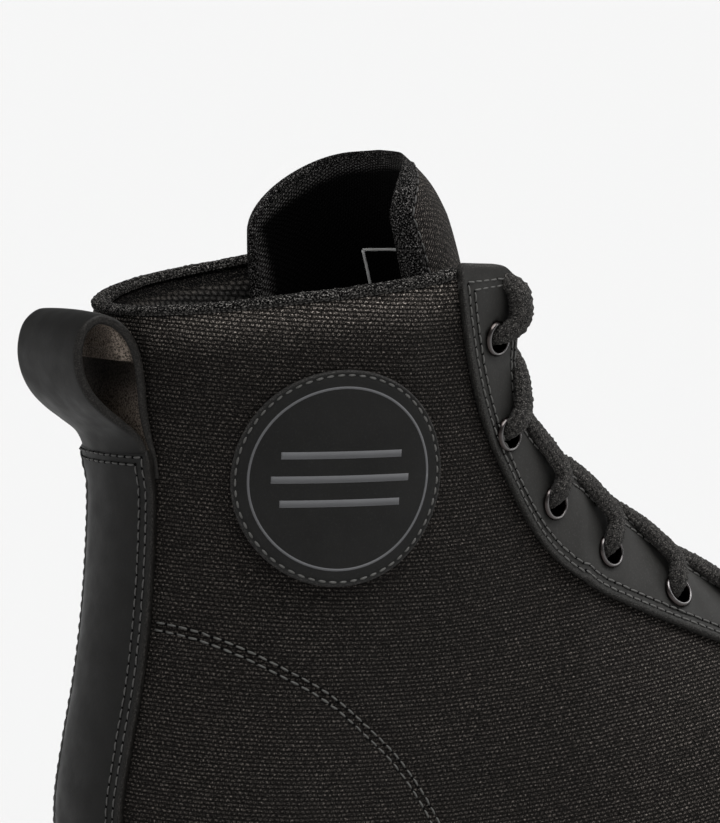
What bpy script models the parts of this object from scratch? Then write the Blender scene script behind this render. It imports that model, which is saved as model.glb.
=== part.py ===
"""Laced motorcycle ankle boot, right foot, as an assembly of separate solids.

The boot stands on its sole. X runs forward from the heel, Y to the wearer's left
and Z up, so the outer (lateral) side of this right boot faces -Y. Tables and sizes
are in millimetres; meshes are written in metres.

Everything above the sole comes from one form, the last: level() is 1 on the outer
face of the canvas upper. The wall, the facings, the heel stay and the badge are
sheets at fixed distances in or out from it.
"""
from math import cos, pi, radians, sin, tau

import bmesh
import bpy
import numpy as np
from mathutils import Vector

MM = 0.001

# --- Driving sizes, mm -------------------------------------------------------
WALL = 2.6              # canvas, foam and lining of the upper
GAP = 0.3               # between pieces that touch
LAP_GAP = 0.6           # under a curved overlay
FACING_GAP = 0.85       # under the facing, which bends two ways
LEATHER = 1.4           # facings, badge
STAY_LEATHER = 1.5      # heel stay
SHANK_X = 61.0          # widest section of the shaft
SHAFT_SQUARENESS = 2.2  # how blunt the front of the shaft is
TOE_START = 232.0       # the toe rounds off from here
TOE_END = 297.0
TOE_SQUARENESS = 2.4
TUCK = 0.07             # the sides draw in towards the sole by this share
TUCK_HEIGHT = 16.0
COLUMNS = 15            # mesh columns on each side of the upper
SOLE_COLUMNS = 22

EYELETS = 7             # on each facing
EYELET_HOLE = 2.2       # radii
EYELET_BARREL = 2.75
EYELET_FLANGE = 4.1
EYELET_CUT = 3.25       # radius of the hole punched for the barrel
EYELET_GAP = 0.55       # under the flat flange on the curved leather
EYELET_INSET = 9.3      # from the facing's edge, at the top
EYELET_DRIFT = 2.6      # more of it lower down
FIRST_EYELET = 15.0     # from the top of the row
LAST_EYELET = 24.0      # from its foot
LACE_RADIUS = 1.9
LACE_REACH = 1.5        # the cord turns this far past the facing's front edge
LACE_RISE = 1.8         # height of its middle over the leather there
LACE_CLEAR = 0.9        # between cord and tongue

STAY_HALF = 14.5        # half the width of the heel stay
STAY_TOP = 128.0
LOOP_HALF = 14.0        # half the width of the pull loop's strap
LOOP_THICK = 2.2
BADGE_RADIUS = 24.2
BADGE_X, BADGE_Z = 46.3, 125.2

INSOLE = 4.0
INSOLE_LIFT = 0.2       # over the feather edge
INSOLE_CLEAR = 0.5      # inside the wall
TONGUE = 5.0            # padded thickness
LEDGE = 2.8             # the sole stands out past the upper
GROOVE_WIDTH = 4.5
GROOVE_DEPTH = 4.5


# --- Tables ------------------------------------------------------------------
def smooth_curve(x, y):
    """A smooth curve through the points; flat beyond its ends."""
    slope = np.diff(y) / np.diff(x)
    gap = np.diff(x)
    m = np.concatenate([[slope[0]], (slope[:-1] * gap[1:] + slope[1:] * gap[:-1]) / (gap[1:] + gap[:-1]),
                        [slope[-1]]])

    def value(at):
        at = np.asarray(at, float)
        i = np.clip(np.searchsorted(x, at) - 1, 0, len(x) - 2)
        h = x[i + 1] - x[i]
        t = np.clip((at - x[i]) / h, 0, 1)
        return ((1 + 2 * t) * (1 - t) ** 2 * y[i] + t * t * (3 - 2 * t) * y[i + 1]
                + h * t * (1 - t) * ((1 - t) * m[i] - t * m[i + 1]))
    return value


class Table:
    """Rows of named columns; each later column is a smooth curve of the first."""

    def __init__(self, columns, *rows):
        self.rows = np.array(rows, float)
        names = columns.split()
        key = self.rows[:, 0]
        for k, name in enumerate(names[1:], 1):
            setattr(self, name, smooth_curve(key, self.rows[:, k]))


# Sections of the foot. feather: where the upper meets the sole. lateral, medial:
# half-widths from the axis. fullness: how boxy the section is across the top.
FOOT = Table("x feather lateral medial axis fullness",
             (0, 30.0, 35.5, 35.5, 0.0, 2.3),
             (40, 29.3, 35.5, 35.5, 0.0, 2.3),
             (75, 27.3, 35.0, 34.0, 0.0, 2.3),
             (110, 23.5, 37.5, 33.5, 0.0, 2.3),
             (150, 18.6, 43.0, 38.0, 0.5, 2.4),
             (190, 16.2, 49.0, 45.5, 1.5, 2.7),
             (215, 16.1, 50.0, 48.5, 2.8, 3.1),
             (240, 17.6, 47.5, 47.0, 5.0, 3.7),
             (265, 20.3, 43.0, 43.5, 7.5, 4.2),
             (300, 27.0, 38.0, 40.0, 10.5, 4.5))

# Sections of the shaft. back: the heel's profile. length: from the back to the
# widest section. width: half-width there.
SHAFT = Table("z back length width",
              (26, 6.2, 35.0, 36.5),
              (36, 2.6, 36.5, 36.5),
              (49, 1.6, 38.0, 36.5),
              (64, 3.6, 42.5, 36.7),
              (79, 6.4, 46.6, 37.5),
              (95, 8.5, 49.6, 38.3),
              (113, 9.9, 51.4, 39.4),
              (140, 10.0, 52.0, 42.0),
              (172, 11.4, 51.0, 45.0))

# The instep and toe ridge, where the two sides of the form would meet.
RIDGE = Table("x z",
              (114, 150), (116.5, 140), (119.5, 133.5), (125, 127.5), (133.5, 120.5), (149, 109.5),
              (160, 102.0), (176, 92.5), (190, 85.0), (205, 78.0), (225, 70.0), (250, 64.5), (275, 61.0),
              (300, 59.0))
RIDGE_FRONT = smooth_curve(RIDGE.rows[::-1, 1], RIDGE.rows[::-1, 0])

COLLAR = Table("x z",
               (11, 162.0), (23.5, 163.6), (36, 165.2), (51, 166.7), (63, 168.0), (70, 169.0),
               (78, 170.4), (86, 170.6), (91, 169.0))

# One row for each ring of the open shaft, from the foot of the throat to the collar:
# its height at the heel, the throat's edge, and the facing's rear edge.
# Columns: heel_z, edge x y z, rear edge x y z.
THROAT = np.array((
    (88.0, 195.5, 6.0, 81.9, 213.0, 13.0, 71.0),
    (90.5, 190.0, 11.0, 83.3, 204.0, 22.5, 68.5),
    (94.0, 181.5, 15.5, 86.0, 191.0, 29.0, 68.5),
    (98.0, 171.5, 18.3, 89.0, 176.0, 31.0, 72.0),
    (102.0, 160.5, 20.3, 93.2, 161.5, 31.5, 77.8),
    (106.5, 150.0, 21.0, 99.5, 148.5, 31.3, 83.2),
    (111.0, 140.0, 21.8, 106.2, 136.5, 31.0, 88.0),
    (115.5, 130.5, 23.5, 112.2, 126.0, 31.0, 92.4),
    (120.0, 121.0, 26.5, 117.4, 116.5, 31.8, 96.6),
    (124.5, 112.0, 29.5, 123.0, 107.5, 33.3, 102.3),
    (129.5, 104.0, 32.3, 129.3, 99.5, 35.4, 110.0),
    (135.0, 97.6, 35.0, 135.0, 92.5, 37.2, 119.5),
    (140.5, 94.3, 36.6, 141.5, 86.3, 39.0, 129.5),
    (146.0, 93.2, 37.1, 148.8, 81.3, 40.8, 139.5),
    (151.5, 93.4, 37.4, 156.0, 77.8, 42.2, 149.5),
    (157.0, 93.0, 38.0, 163.0, 75.2, 43.6, 159.5),
    (161.5, 90.5, 39.6, 169.3, 73.4, 44.8, 169.2)))
THROAT_FOOT = 198.0     # x of the closed end of the throat
FACING_FOOT = 217.5     # x of the facing's front end on the ridge
THROAT_HEEL_Z = 86.0    # height at the heel of the ring through the throat's foot
CLOSED_RINGS = (0.0, 0.1, 0.22, 0.36, 0.5, 0.62, 0.73, 0.83, 0.91, 1.0)

# Tongue, from its end under the vamp to its top: the ridge line of its outer face,
# its half-width, how far back its edges lie, the tilt of its section in degrees, how
# much nearer the front its lateral edge lies, and how far its face draws in.
TONGUE_SECTIONS = Table("s x z half depth tilt twist draw",
                        (0, 210, 68.5, 20.0, 5.0, 63, 0, 0),
                        (1, 200, 73.5, 21.0, 6.0, 63, 0, 0),
                        (2, 189, 79.0, 21.5, 8.0, 63, 0, 0),
                        (3, 177, 84.8, 21.5, 10.0, 62, 0, 0),
                        (4, 165, 91.0, 21.8, 12.5, 60, 0, 0),
                        (5, 153, 97.6, 22.3, 15.0, 58, 0, 0),
                        (6, 141, 105.0, 23.3, 18.0, 54, 0, 0),
                        (7, 130, 112.5, 25.5, 21.5, 48, 0, 0),
                        (8, 119.5, 120.5, 28.2, 25.0, 41, 0, 0),
                        (9, 111, 130.0, 30.8, 28.5, 32, 0, 0),
                        (10, 104.5, 141.5, 32.7, 31.0, 22, 0.02, 0),
                        (11, 100.5, 154.0, 34.2, 31.5, 13, 0.06, 0),
                        (12, 96.8, 168.0, 35.0, 29.8, 6, 0.07, 0),
                        (13, 91.6, 182.0, 35.0, 25.8, 3, 0.04, 0),
                        (13.5, 88.0, 189.3, 34.8, 23.2, 2, 0.00, 1.2),
                        (14, 84.2, 196.0, 34.6, 20.6, 1, -0.04, 4.4))
TONGUE_CORNER = 28.0    # the upper corners round off over this length of the top edge
TONGUE_CORNER_DROP = 15.0
TONGUE_STEP = 13.5      # height of one station of its table near the top
TONGUE_TOP = 14.0
TONGUE_ROUND_FROM = 12.0
TONGUE_STATIONS = (0, 1, 2, 3, 4, 5, 6, 7, 8, 9, 10, 11, 12, 12.6, 13.1, 13.6, 14)
TONGUE_COLUMNS = 14
TONGUE_ROUNDNESS = 0.85

# Outsole: the underside lifts at the back of the heel and at the toe.
HEEL_BEVEL_START, HEEL_BEVEL = 8.0, 3.0
SPRING_START, TOE_SPRING = 222.0, 11.5
ARCH = ((79, -3), (81.5, 9), (88, 13), (104, 11.4), (124, 7.0), (143, 1.6), (150, -3))
HEEL_GROOVES = (15.0, 33.0, 51.0)
FORE_GROOVES = (163.0, 180.0, 197.0, 214.0, 231.0, 248.0, 265.0, 282.0)
CHEVRON = 9.0           # how far a groove's ends trail its middle
CHEVRON_HALF = 45.0     # half the width over which it trails by that much
CUT_HALF = 75.0         # the cutters reach this far to each side, past the sole
CUT_BELOW = -8.0        # and this far below the floor

# Pull loop: the middle line of its strap, seen from the side, round from its foot.
LOOP_PATH = ((8.0, 129.2), (8.3, 137.0), (8.7, 146.0), (8.8, 152.5), (7.2, 157.5),
             (3.6, 160.2), (-0.2, 160.3), (-3.6, 158.0), (-5.4, 153.5), (-5.0, 147.8),
             (-3.0, 143.2), (0.0, 140.2), (3.0, 137.8), (5.2, 134.8))


# --- The form ----------------------------------------------------------------
def ease(low, high, at):
    t = np.clip((np.asarray(at, float) - low) / (high - low), 0, 1)
    return t * t * (3 - 2 * t)


def form_width(x, z, side):
    """Half-width of the form at its fullest, from the foot's and the shaft's tables."""
    foot = np.where(side < 0, FOOT.lateral(x), FOOT.medial(x))
    up = ease(55, 115, z)
    low = np.clip(1 - (z - FOOT.feather(x)) / TUCK_HEIGHT, 0, 1)
    return (foot * (1 - up) + SHAFT.width(z) * up) * (1 - TUCK * low ** 2)


def closure(x, z):
    """0 along the middle of the form, 1 where its outline closes at heel, ridge and toe."""
    length = SHAFT.length(z)
    heel = np.clip((SHAFT.back(z) + length - x) / length, 0, None) ** 2
    toe = np.clip((x - TOE_START) / (TOE_END - TOE_START), 0, None) ** TOE_SQUARENESS
    feather = FOOT.feather(x)
    rise = np.clip((z - feather) / (RIDGE.z(x) - feather), 0, None) ** FOOT.fullness(x)
    front = np.clip((x - SHANK_X) / (RIDGE_FRONT(z) - SHANK_X), 0, None) ** SHAFT_SQUARENESS
    up = ease(88, 130, z)
    return heel + toe + (1 - up) * rise * ease(70, 112, x) + up * front


def half_width(x, z, side):
    return form_width(x, z, side) * np.sqrt(np.clip(1 - closure(x, z), 0, None))


def level(p):
    """1 on the form's surface, less inside."""
    x, y, z = p[..., 0], p[..., 1] - FOOT.axis(p[..., 0]), p[..., 2]
    return (y / form_width(x, z, np.where(y < 0, -1, 1))) ** 2 + closure(x, z)


def gradient(p, step=0.2):
    return np.stack([(level(p + d) - level(p - d)) / (2 * step) for d in np.eye(3) * step], -1)


def settle(p):
    """Move points to the nearest place on the form."""
    p = np.array(p, float)
    for _ in range(12):
        g = gradient(p)
        p = p - (level(p) - 1)[..., None] * g / (g * g).sum(-1, keepdims=True)
    return p


def away(p, distance):
    """Points at a distance out from points on the form."""
    g = gradient(p)
    return p + g / np.linalg.norm(g, axis=-1, keepdims=True) * distance


def side_point(x, z, side):
    return np.stack([x, FOOT.axis(x) + side * half_width(x, z, side), z], -1)


# --- The rings of the upper --------------------------------------------------
def heel_x(z):
    return float(SHAFT.back(z))


def spread(count, end):
    """Steps from 0 to 1, close together at the start and, as end nears 1, at the end."""
    u = np.linspace(0, 1, count + 1)
    return (1 - np.cos(pi * end * u)) / (1 - cos(pi * end))


def low_ring_z(x, share):
    """Height of a closed ring: a share of the way from the sole to the throat's foot."""
    top = THROAT_HEEL_Z + (float(RIDGE.z(THROAT_FOOT)) - THROAT_HEEL_Z) * x / THROAT_FOOT
    feather = FOOT.feather(x)
    return feather + (top - feather) * share


def meeting(share):
    """x where a closed ring meets the ridge or the toe, found by halving."""
    low, high = 150.0, 320.0
    if share == 1.0:
        return THROAT_FOOT
    for _ in range(40):
        middle = (low + high) / 2
        if closure(middle, low_ring_z(middle, share)) < 1:
            low = middle
        else:
            high = middle
    return low


def closed_ring(share, count=COLUMNS):
    """Loop round heel and toe: heel, lateral side, front, medial side."""
    start = heel_x(low_ring_z(5.0, share))
    x = start + (meeting(share) - start) * spread(count, 1.0)
    z = low_ring_z(x, share)
    lateral = side_point(x, z, -1)
    medial = side_point(x, z, 1)
    lateral[0, 1] = medial[0, 1] = 0.0
    lateral[-1, 1] = FOOT.axis(x[-1])
    return lateral[::-1], medial[1:]


def throat_point(row, side, back_off=0.0):
    """The throat's edge, optionally moved towards the facing's rear edge."""
    edge, lap = row[1:4], row[4:7]
    p = edge + (lap - edge) / np.linalg.norm(lap - edge) * back_off
    x = p[0]
    return settle(np.array([x, FOOT.axis(x) + side * p[1], p[2]]))


def open_ring(row, count=COLUMNS):
    """Strip from the lateral throat edge round the heel to the medial one."""
    heel_z = row[0]
    share = (heel_z - THROAT_HEEL_Z) / (THROAT[-1][0] - THROAT_HEEL_Z)
    halves = []
    for side in (-1, 1):
        end = throat_point(row, side, 0.8)
        start = heel_x(heel_z)
        along = spread(count, 0.93 - 0.2 * share ** 0.5)
        x = start + (end[0] - start) * along
        line = heel_z + (end[2] - heel_z) * along
        collar_line = COLLAR.z(11) + (COLLAR.z(91) - COLLAR.z(11)) * along
        z = line + (COLLAR.z(x) - collar_line) * share ** 4
        z[-1] = end[2]
        half = side_point(x, z, side)
        half[0, 1] = 0.0
        half[-1] = end
        halves.append(half)
    return halves[0][::-1], halves[1][1:]


# --- Mesh building -----------------------------------------------------------
def material(name, colour, roughness, metallic=0.0):
    made = bpy.data.materials.new(name)
    made.use_nodes = True
    shader = made.node_tree.nodes["Principled BSDF"]
    shader.inputs["Base Color"].default_value = (*colour, 1)
    shader.inputs["Roughness"].default_value = roughness
    shader.inputs["Metallic"].default_value = metallic
    made.diffuse_color = (*colour, 1)
    return made


def make_object(name, bm, look=None):
    bmesh.ops.recalc_face_normals(bm, faces=bm.faces)
    mesh = bpy.data.meshes.new(name)
    bm.to_mesh(mesh)
    bm.free()
    mesh.shade_smooth()
    mesh.set_sharp_from_angle(angle=radians(40))
    made = bpy.data.objects.new(name, mesh)
    bpy.context.scene.collection.objects.link(made)
    if look:
        mesh.materials.append(look)
    return made


def new_vertices(bm, points):
    return [bm.verts.new(Vector(p) * MM) for p in points]


def quads_between(bm, first, second, closed=False):
    count = len(first)
    for j in range(count if closed else count - 1):
        k = (j + 1) % count
        corners = [first[j], first[k], second[k], second[j]]
        face = [v for n, v in enumerate(corners) if v not in corners[:n]]
        if len(face) > 2:
            bm.faces.new(face)


def sheet(name, outer, inner, look):
    """Closed solid between two grids of points."""
    bm = bmesh.new()
    out = [new_vertices(bm, row) for row in outer]
    into = [new_vertices(bm, row) for row in inner]
    rows = len(out)
    for i in range(rows - 1):
        k = i + 1
        quads_between(bm, out[i], out[k])
        quads_between(bm, into[i], into[k])
        for edge in (0, -1):
            bm.faces.new([out[i][edge], out[k][edge], into[k][edge], into[i][edge]])
    for end in (0, -1):
        quads_between(bm, out[end], into[end])
    bmesh.ops.triangulate(bm, faces=bm.faces)
    return make_object(name, bm, look)


def stack(name, rings, look):
    """Closed solid from loops one above another; its ends are ladders across the loop."""
    bm = bmesh.new()
    loops = [new_vertices(bm, ring) for ring in rings]
    for low, high in zip(loops, loops[1:]):
        quads_between(bm, low, high, closed=True)
    for cap in (loops[0], loops[-1]):
        count = len(cap)
        for j in range(count // 2):
            corners = [cap[j], cap[j + 1], cap[-j - 1], cap[-j % count]]
            face = [v for n, v in enumerate(corners) if v not in corners[:n]]
            bm.faces.new(face)
    return make_object(name, bm, look)


def cutter(name, bm):
    made = make_object(name, bm)
    made.hide_render = True
    made.display_type = "WIRE"
    return made


def combine(target, tool, operation):
    change = target.modifiers.new(tool.name, "BOOLEAN")
    change.operation = operation
    change.object = tool


def prism(bm, outline, place, low, high):
    """Extrude a flat outline; place(point, distance) gives each corner."""
    ends = [[bm.verts.new(Vector(place(p, distance)) * MM) for p in outline] for distance in (low, high)]
    quads_between(bm, *ends, closed=True)
    bm.faces.new(ends[0])
    bm.faces.new(ends[1][::-1])


def tube(bm, points, ups, radius, sides):
    """Round cord through the points, with flat ends; ups point away from what it lies on."""
    points = [Vector(p) for p in points]
    loops = []
    for i, p in enumerate(points):
        ahead = (points[min(i + 1, len(points) - 1)] - points[max(i - 1, 0)]).normalized()
        across = ahead.cross(Vector(ups[i])).normalized()
        rise = across.cross(ahead)
        loops.append([bm.verts.new((p + (across * cos(a) + rise * sin(a)) * radius) * MM)
                      for a in (tau * k / sides for k in range(sides))])
    for low, high in zip(loops, loops[1:]):
        quads_between(bm, low, high, closed=True)
    bm.faces.new(loops[0])
    bm.faces.new(loops[-1][::-1])


# --- Pieces ------------------------------------------------------------------
def make_upper(look):
    """Hollow canvas upper: open at the collar and throat, and underneath."""
    rings = [closed_ring(share) for share in CLOSED_RINGS] + [open_ring(row) for row in THROAT]
    rings = [np.concatenate(pair) for pair in rings]
    closed = len(CLOSED_RINGS)
    bm = bmesh.new()
    skins = []
    for distance in (0.0, -WALL):
        skin = []
        for k, ring in enumerate(rings):
            points = away(ring, distance)
            if k < closed:
                loop = new_vertices(bm, points[:-1])
                loop.append(loop[0])
            else:
                loop = new_vertices(bm, points)
            skin.append(loop)
        for low, high in zip(skin, skin[1:]):
            quads_between(bm, low, high)
        skins.append(skin)
    rims = []
    for skin in skins:
        sides = skin[closed:]
        rims.append([loop[0] for loop in sides] + sides[-1][1:-1] + [loop[-1] for loop in sides[::-1]]
                    + [skin[closed - 1][0]])
    quads_between(bm, *rims, closed=True)
    quads_between(bm, skins[0][0][:-1], skins[1][0][:-1], closed=True)
    bmesh.ops.triangulate(bm, faces=bm.faces)
    return make_object("upper", bm, look)


def facing_rows():
    """Points across the facing, row by row from the lateral top round to the medial top."""
    edges = []
    for side, rows in ((-1, THROAT[::-1]), (1, THROAT)):
        edges += [np.concatenate([row[1:], [side]]) for row in rows]
    foot_z = RIDGE.z(np.array([THROAT_FOOT, FACING_FOOT]))
    edges.insert(len(THROAT), np.array([THROAT_FOOT, 0, foot_z[0], FACING_FOOT, 0, foot_z[1], 0]))
    edges = np.array(edges)
    edges[:, [1, 4]] *= np.sign(edges[:, 6:])
    middle = len(THROAT)
    coarse, fine = np.arange(0, middle - 7), np.arange(middle - 7, middle + 7, 0.5)
    at = np.concatenate([coarse, fine, np.arange(middle + 7, 2 * middle + 1)])
    columns = [smooth_curve(np.arange(len(edges)), edges[:, k])(at) for k in range(6)]
    edge, lap = np.stack(columns[:3], -1), np.stack(columns[3:], -1)
    rows = edge[:, None] + (lap - edge)[:, None] * np.linspace(0, 1, 5)[:, None]
    rows[..., 1] += FOOT.axis(rows[..., 0])
    return settle(rows)


def make_facing(look):
    rows = facing_rows()
    return sheet("eyestay", away(rows, FACING_GAP + LEATHER), away(rows, FACING_GAP), look)


def eyelet_centres(side):
    """(number, point on the form) for each eyelet of one facing, from the top."""
    shares = np.linspace(0, 1, len(THROAT))
    line = np.array([throat_point(row, side, EYELET_INSET + EYELET_DRIFT * ease(0.25, 0.5, share))
                     for row, share in zip(THROAT[::-1], shares)])
    run = np.concatenate([[0], np.cumsum(np.linalg.norm(np.diff(line, axis=0), axis=1))])
    places = np.linspace(FIRST_EYELET, run[-1] - LAST_EYELET, EYELETS)
    points = np.stack([np.interp(places, run, line[:, axis]) for axis in range(3)], -1)
    return list(enumerate(settle(points), 1))


def eyelet_places():
    """(side, number, point on the form, outward normal) for each eyelet."""
    places = []
    for side in (-1, 1):
        for number, p in eyelet_centres(side):
            g = gradient(p)
            places.append((side, number, p, g / np.linalg.norm(g)))
    return places


def turned(bm, profile, p, normal, sides=8):
    """Ring with the given (radius, height) profile about a normal."""
    axis = Vector(normal)
    across = axis.orthogonal().normalized()
    other = axis.cross(across)
    loops = []
    for radius, height in profile:
        loops.append([bm.verts.new((Vector(p) + axis * height
                                    + (across * cos(a) + other * sin(a)) * radius) * MM)
                      for a in (tau * k / sides for k in range(sides))])
    for low, high in zip(loops, loops[1:] + loops[:1]):
        quads_between(bm, low, high, closed=True)


def make_eyelets(look):
    """Metal eyelets through facing and canvas, and the cutter for their holes."""
    top = FACING_GAP + LEATHER + EYELET_GAP
    foot = -WALL - 0.4
    profile = ((EYELET_HOLE, top + 0.8), (EYELET_FLANGE - 0.7, top + 0.8), (EYELET_FLANGE, top),
               (EYELET_BARREL, top), (EYELET_BARREL, foot), (EYELET_HOLE, foot))
    holes = bmesh.new()
    for side, number, p, normal in eyelet_places():
        bm = bmesh.new()
        turned(bm, profile, p, normal)
        make_object(f"eyelet_{'lateral' if side < 0 else 'medial'}_{number}", bm, look)
        axis = Vector(normal)
        across = axis.orthogonal().normalized()
        other = axis.cross(across)
        circle = [across * cos(a) * EYELET_CUT + other * sin(a) * EYELET_CUT
                  for a in (tau * k / 8 for k in range(8))]
        prism(holes, circle, lambda c, d: Vector(p) + c + axis * d, -WALL - 6, 8)
    return cutter("eyelet_holes", holes)


def tongue_frame(s):
    """Ridge point, and the direction from it into the shoe, at a station."""
    tilt = np.radians(TONGUE_SECTIONS.tilt(s))
    return np.array([TONGUE_SECTIONS.x(s), TONGUE_SECTIONS.z(s)]), np.array([-np.cos(tilt), -np.sin(tilt)])


def tongue_row(s, inset):
    """Points across the tongue; inset 0 is its outer face."""
    here, inward = tongue_frame(s)
    inset = max(inset, TONGUE_SECTIONS.draw(s))
    half = TONGUE_SECTIONS.half(s) - inset
    depth = TONGUE_SECTIONS.depth(s) - inset * 0.5
    angle = np.linspace(-pi / 2, pi / 2, TONGUE_COLUMNS + 1)
    lean = 1 + TONGUE_SECTIONS.twist(s) * np.sin(angle)
    into = inset + depth * (1 - np.cos(angle)) ** TONGUE_ROUNDNESS * lean
    axis = FOOT.axis(here[0])
    return np.stack([here[0] + inward[0] * into, axis + half * np.sin(angle), here[1] + inward[1] * into], -1)


def make_tongue(look):
    """Padded tongue; near its top each column stops early, which rounds the corners."""
    outer = tongue_row(TONGUE_TOP, 0.0)
    run = np.concatenate([[0], np.cumsum(np.linalg.norm(np.diff(outer, axis=0), axis=1))])
    from_edge = np.minimum(run, run[-1] - run)
    rounding = np.clip(1 - from_edge / TONGUE_CORNER, 0, 1)
    stop = TONGUE_TOP - TONGUE_CORNER_DROP / TONGUE_STEP * (1 - np.sqrt(1 - rounding ** 2))
    grids = []
    for inset in (0.0, TONGUE):
        rows = []
        for s in TONGUE_STATIONS:
            share = np.clip((s - TONGUE_ROUND_FROM) / (TONGUE_TOP - TONGUE_ROUND_FROM), 0, 1)
            at = s + (stop - TONGUE_TOP) * share
            rows.append(np.array([tongue_row(station, inset)[k] for k, station in enumerate(at)]))
        grids.append(rows)
    return sheet("tongue", grids[0], grids[1], look)


def foot_loop(distance, rise, count):
    """The feather line as a loop, moved out in plan by distance and up by rise(x)."""
    lateral, medial = closed_ring(0.0, count)
    loop = np.concatenate([lateral[::-1], medial[:-1][::-1]])
    ahead = np.roll(loop, -1, axis=0) - np.roll(loop, 1, axis=0)
    out = np.stack([ahead[:, 1], -ahead[:, 0], np.zeros(len(loop))], -1)
    out /= np.linalg.norm(out, axis=1, keepdims=True)
    loop = loop + out * distance
    loop[:, 2] = rise(loop[:, 0])
    return loop


def insole_foot(x):
    return FOOT.feather(x) + INSOLE_LIFT


def insole_top(x):
    return insole_foot(x) + INSOLE


def make_insole(look):
    inset = -WALL - INSOLE_CLEAR
    return stack("insole", [foot_loop(inset, rise, COLUMNS) for rise in (insole_foot, insole_top)], look)


def ground(x):
    """Height of the sole's underside above the floor, before the arch is cut."""
    bevel = np.clip((HEEL_BEVEL_START - x) / 12.0, 0, None) ** 1.5 * HEEL_BEVEL
    spring = np.clip((x - SPRING_START) / (300.0 - SPRING_START), 0, None) ** 1.6 * TOE_SPRING
    return bevel + spring


def sole_top(x):
    return FOOT.feather(x) - GAP


def tread_edge(x):
    """Height of the rounding round the sole's foot."""
    return ground(x) + 3.0


def sole_waist(x):
    """Height of the sole's widest ring."""
    return 0.45 * ground(x) + 0.55 * sole_top(x)


def sole_rim(x):
    """Height of the rounding under the sole's top edge."""
    return sole_top(x) - 1.8


# Rings of the outsole from its foot up: how far it stands out, and its height.
SOLE_RINGS = ((LEDGE - 1.6, ground), (LEDGE - 0.2, tread_edge), (LEDGE + 0.6, sole_waist),
              (LEDGE + 0.2, sole_rim), (LEDGE - 0.8, sole_top))


def make_outsole(look):
    """Rubber unit: heel, cut arch, toe spring, and lugs left between chevron grooves."""
    rings = [foot_loop(out, rise, SOLE_COLUMNS) for out, rise in SOLE_RINGS]
    sole = stack("outsole", rings, look)
    cuts = bmesh.new()
    prism(cuts, ARCH, lambda p, y: (p[0], y, p[1]), -CUT_HALF, CUT_HALF)
    trail = CHEVRON * CUT_HALF / CHEVRON_HALF
    for x in HEEL_GROOVES + FORE_GROOVES:
        outline = ((x - trail, -CUT_HALF), (x, 0), (x - trail, CUT_HALF),
                   (x - trail + GROOVE_WIDTH, CUT_HALF), (x + GROOVE_WIDTH, 0),
                   (x - trail + GROOVE_WIDTH, -CUT_HALF))
        prism(cuts, outline, lambda p, z: (p[0], p[1], z), CUT_BELOW, float(ground(x)) + GROOVE_DEPTH)
    combine(sole, cutter("sole_cuts", cuts), "DIFFERENCE")
    return sole


def heel_grid(heights, reach, distance, count=6):
    """Rows of points across the back of the heel, out to y = reach."""
    rows = []
    for z in heights:
        y = np.linspace(-reach, reach, count + 1)
        width = form_width(20.0, z, np.where(y < 0, -1, 1))
        length = SHAFT.length(z)
        x = SHAFT.back(z) + length * (1 - np.sqrt(1 - (y / width) ** 2))
        rows.append(away(np.stack([x, y, np.full_like(y, z)], -1), distance))
    return rows


def make_heel_stay(look):
    heights = np.linspace(float(FOOT.feather(0)) + 1.0, STAY_TOP, 13)
    outer = heel_grid(heights, STAY_HALF, LAP_GAP + STAY_LEATHER)
    return sheet("heel_stay", outer, heel_grid(heights, STAY_HALF, LAP_GAP), look)


def make_badge(look):
    """Round leather patch, bare, bent round the side of the shaft."""
    x = np.linspace(15, 80, 131)
    level_line = side_point(x, np.full_like(x, BADGE_Z), -1)
    run = np.concatenate([[0], np.cumsum(np.linalg.norm(np.diff(level_line, axis=0), axis=1))])
    centre = np.interp(BADGE_X, x, run)
    angle = np.arange(24) * tau / 24
    rings = []
    for radius in (BADGE_RADIUS, BADGE_RADIUS * 0.62, BADGE_RADIUS * 0.25):
        across = np.interp(centre + radius * np.cos(angle), run, x)
        rings.append(side_point(across, BADGE_Z + radius * np.sin(angle), -1))
    bm = bmesh.new()
    rims = []
    for distance in (LAP_GAP, LAP_GAP + LEATHER):
        loops = [new_vertices(bm, away(ring, distance)) for ring in rings]
        for low, high in zip(loops, loops[1:]):
            quads_between(bm, low, high, closed=True)
        bm.faces.new(loops[-1])
        rims.append(loops[0])
    quads_between(bm, *rims, closed=True)
    return make_object("badge", bm, look)


def make_pull_loop(look):
    """Leather strap doubled into a loop behind the collar."""
    path = np.array(LOOP_PATH)
    ahead = np.gradient(path, axis=0)
    ahead /= np.linalg.norm(ahead, axis=1, keepdims=True)
    out = np.stack([ahead[:, 1], -ahead[:, 0]], -1)
    across = np.linspace(-LOOP_HALF, LOOP_HALF, 5)
    grids = []
    for sign in (-1, 1):
        edge = path + out * sign * LOOP_THICK / 2
        grids.append([np.stack([np.full(5, x), across, np.full(5, z)], -1) for x, z in edge])
    return sheet("pull_loop", grids[0], grids[1], look)


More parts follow.
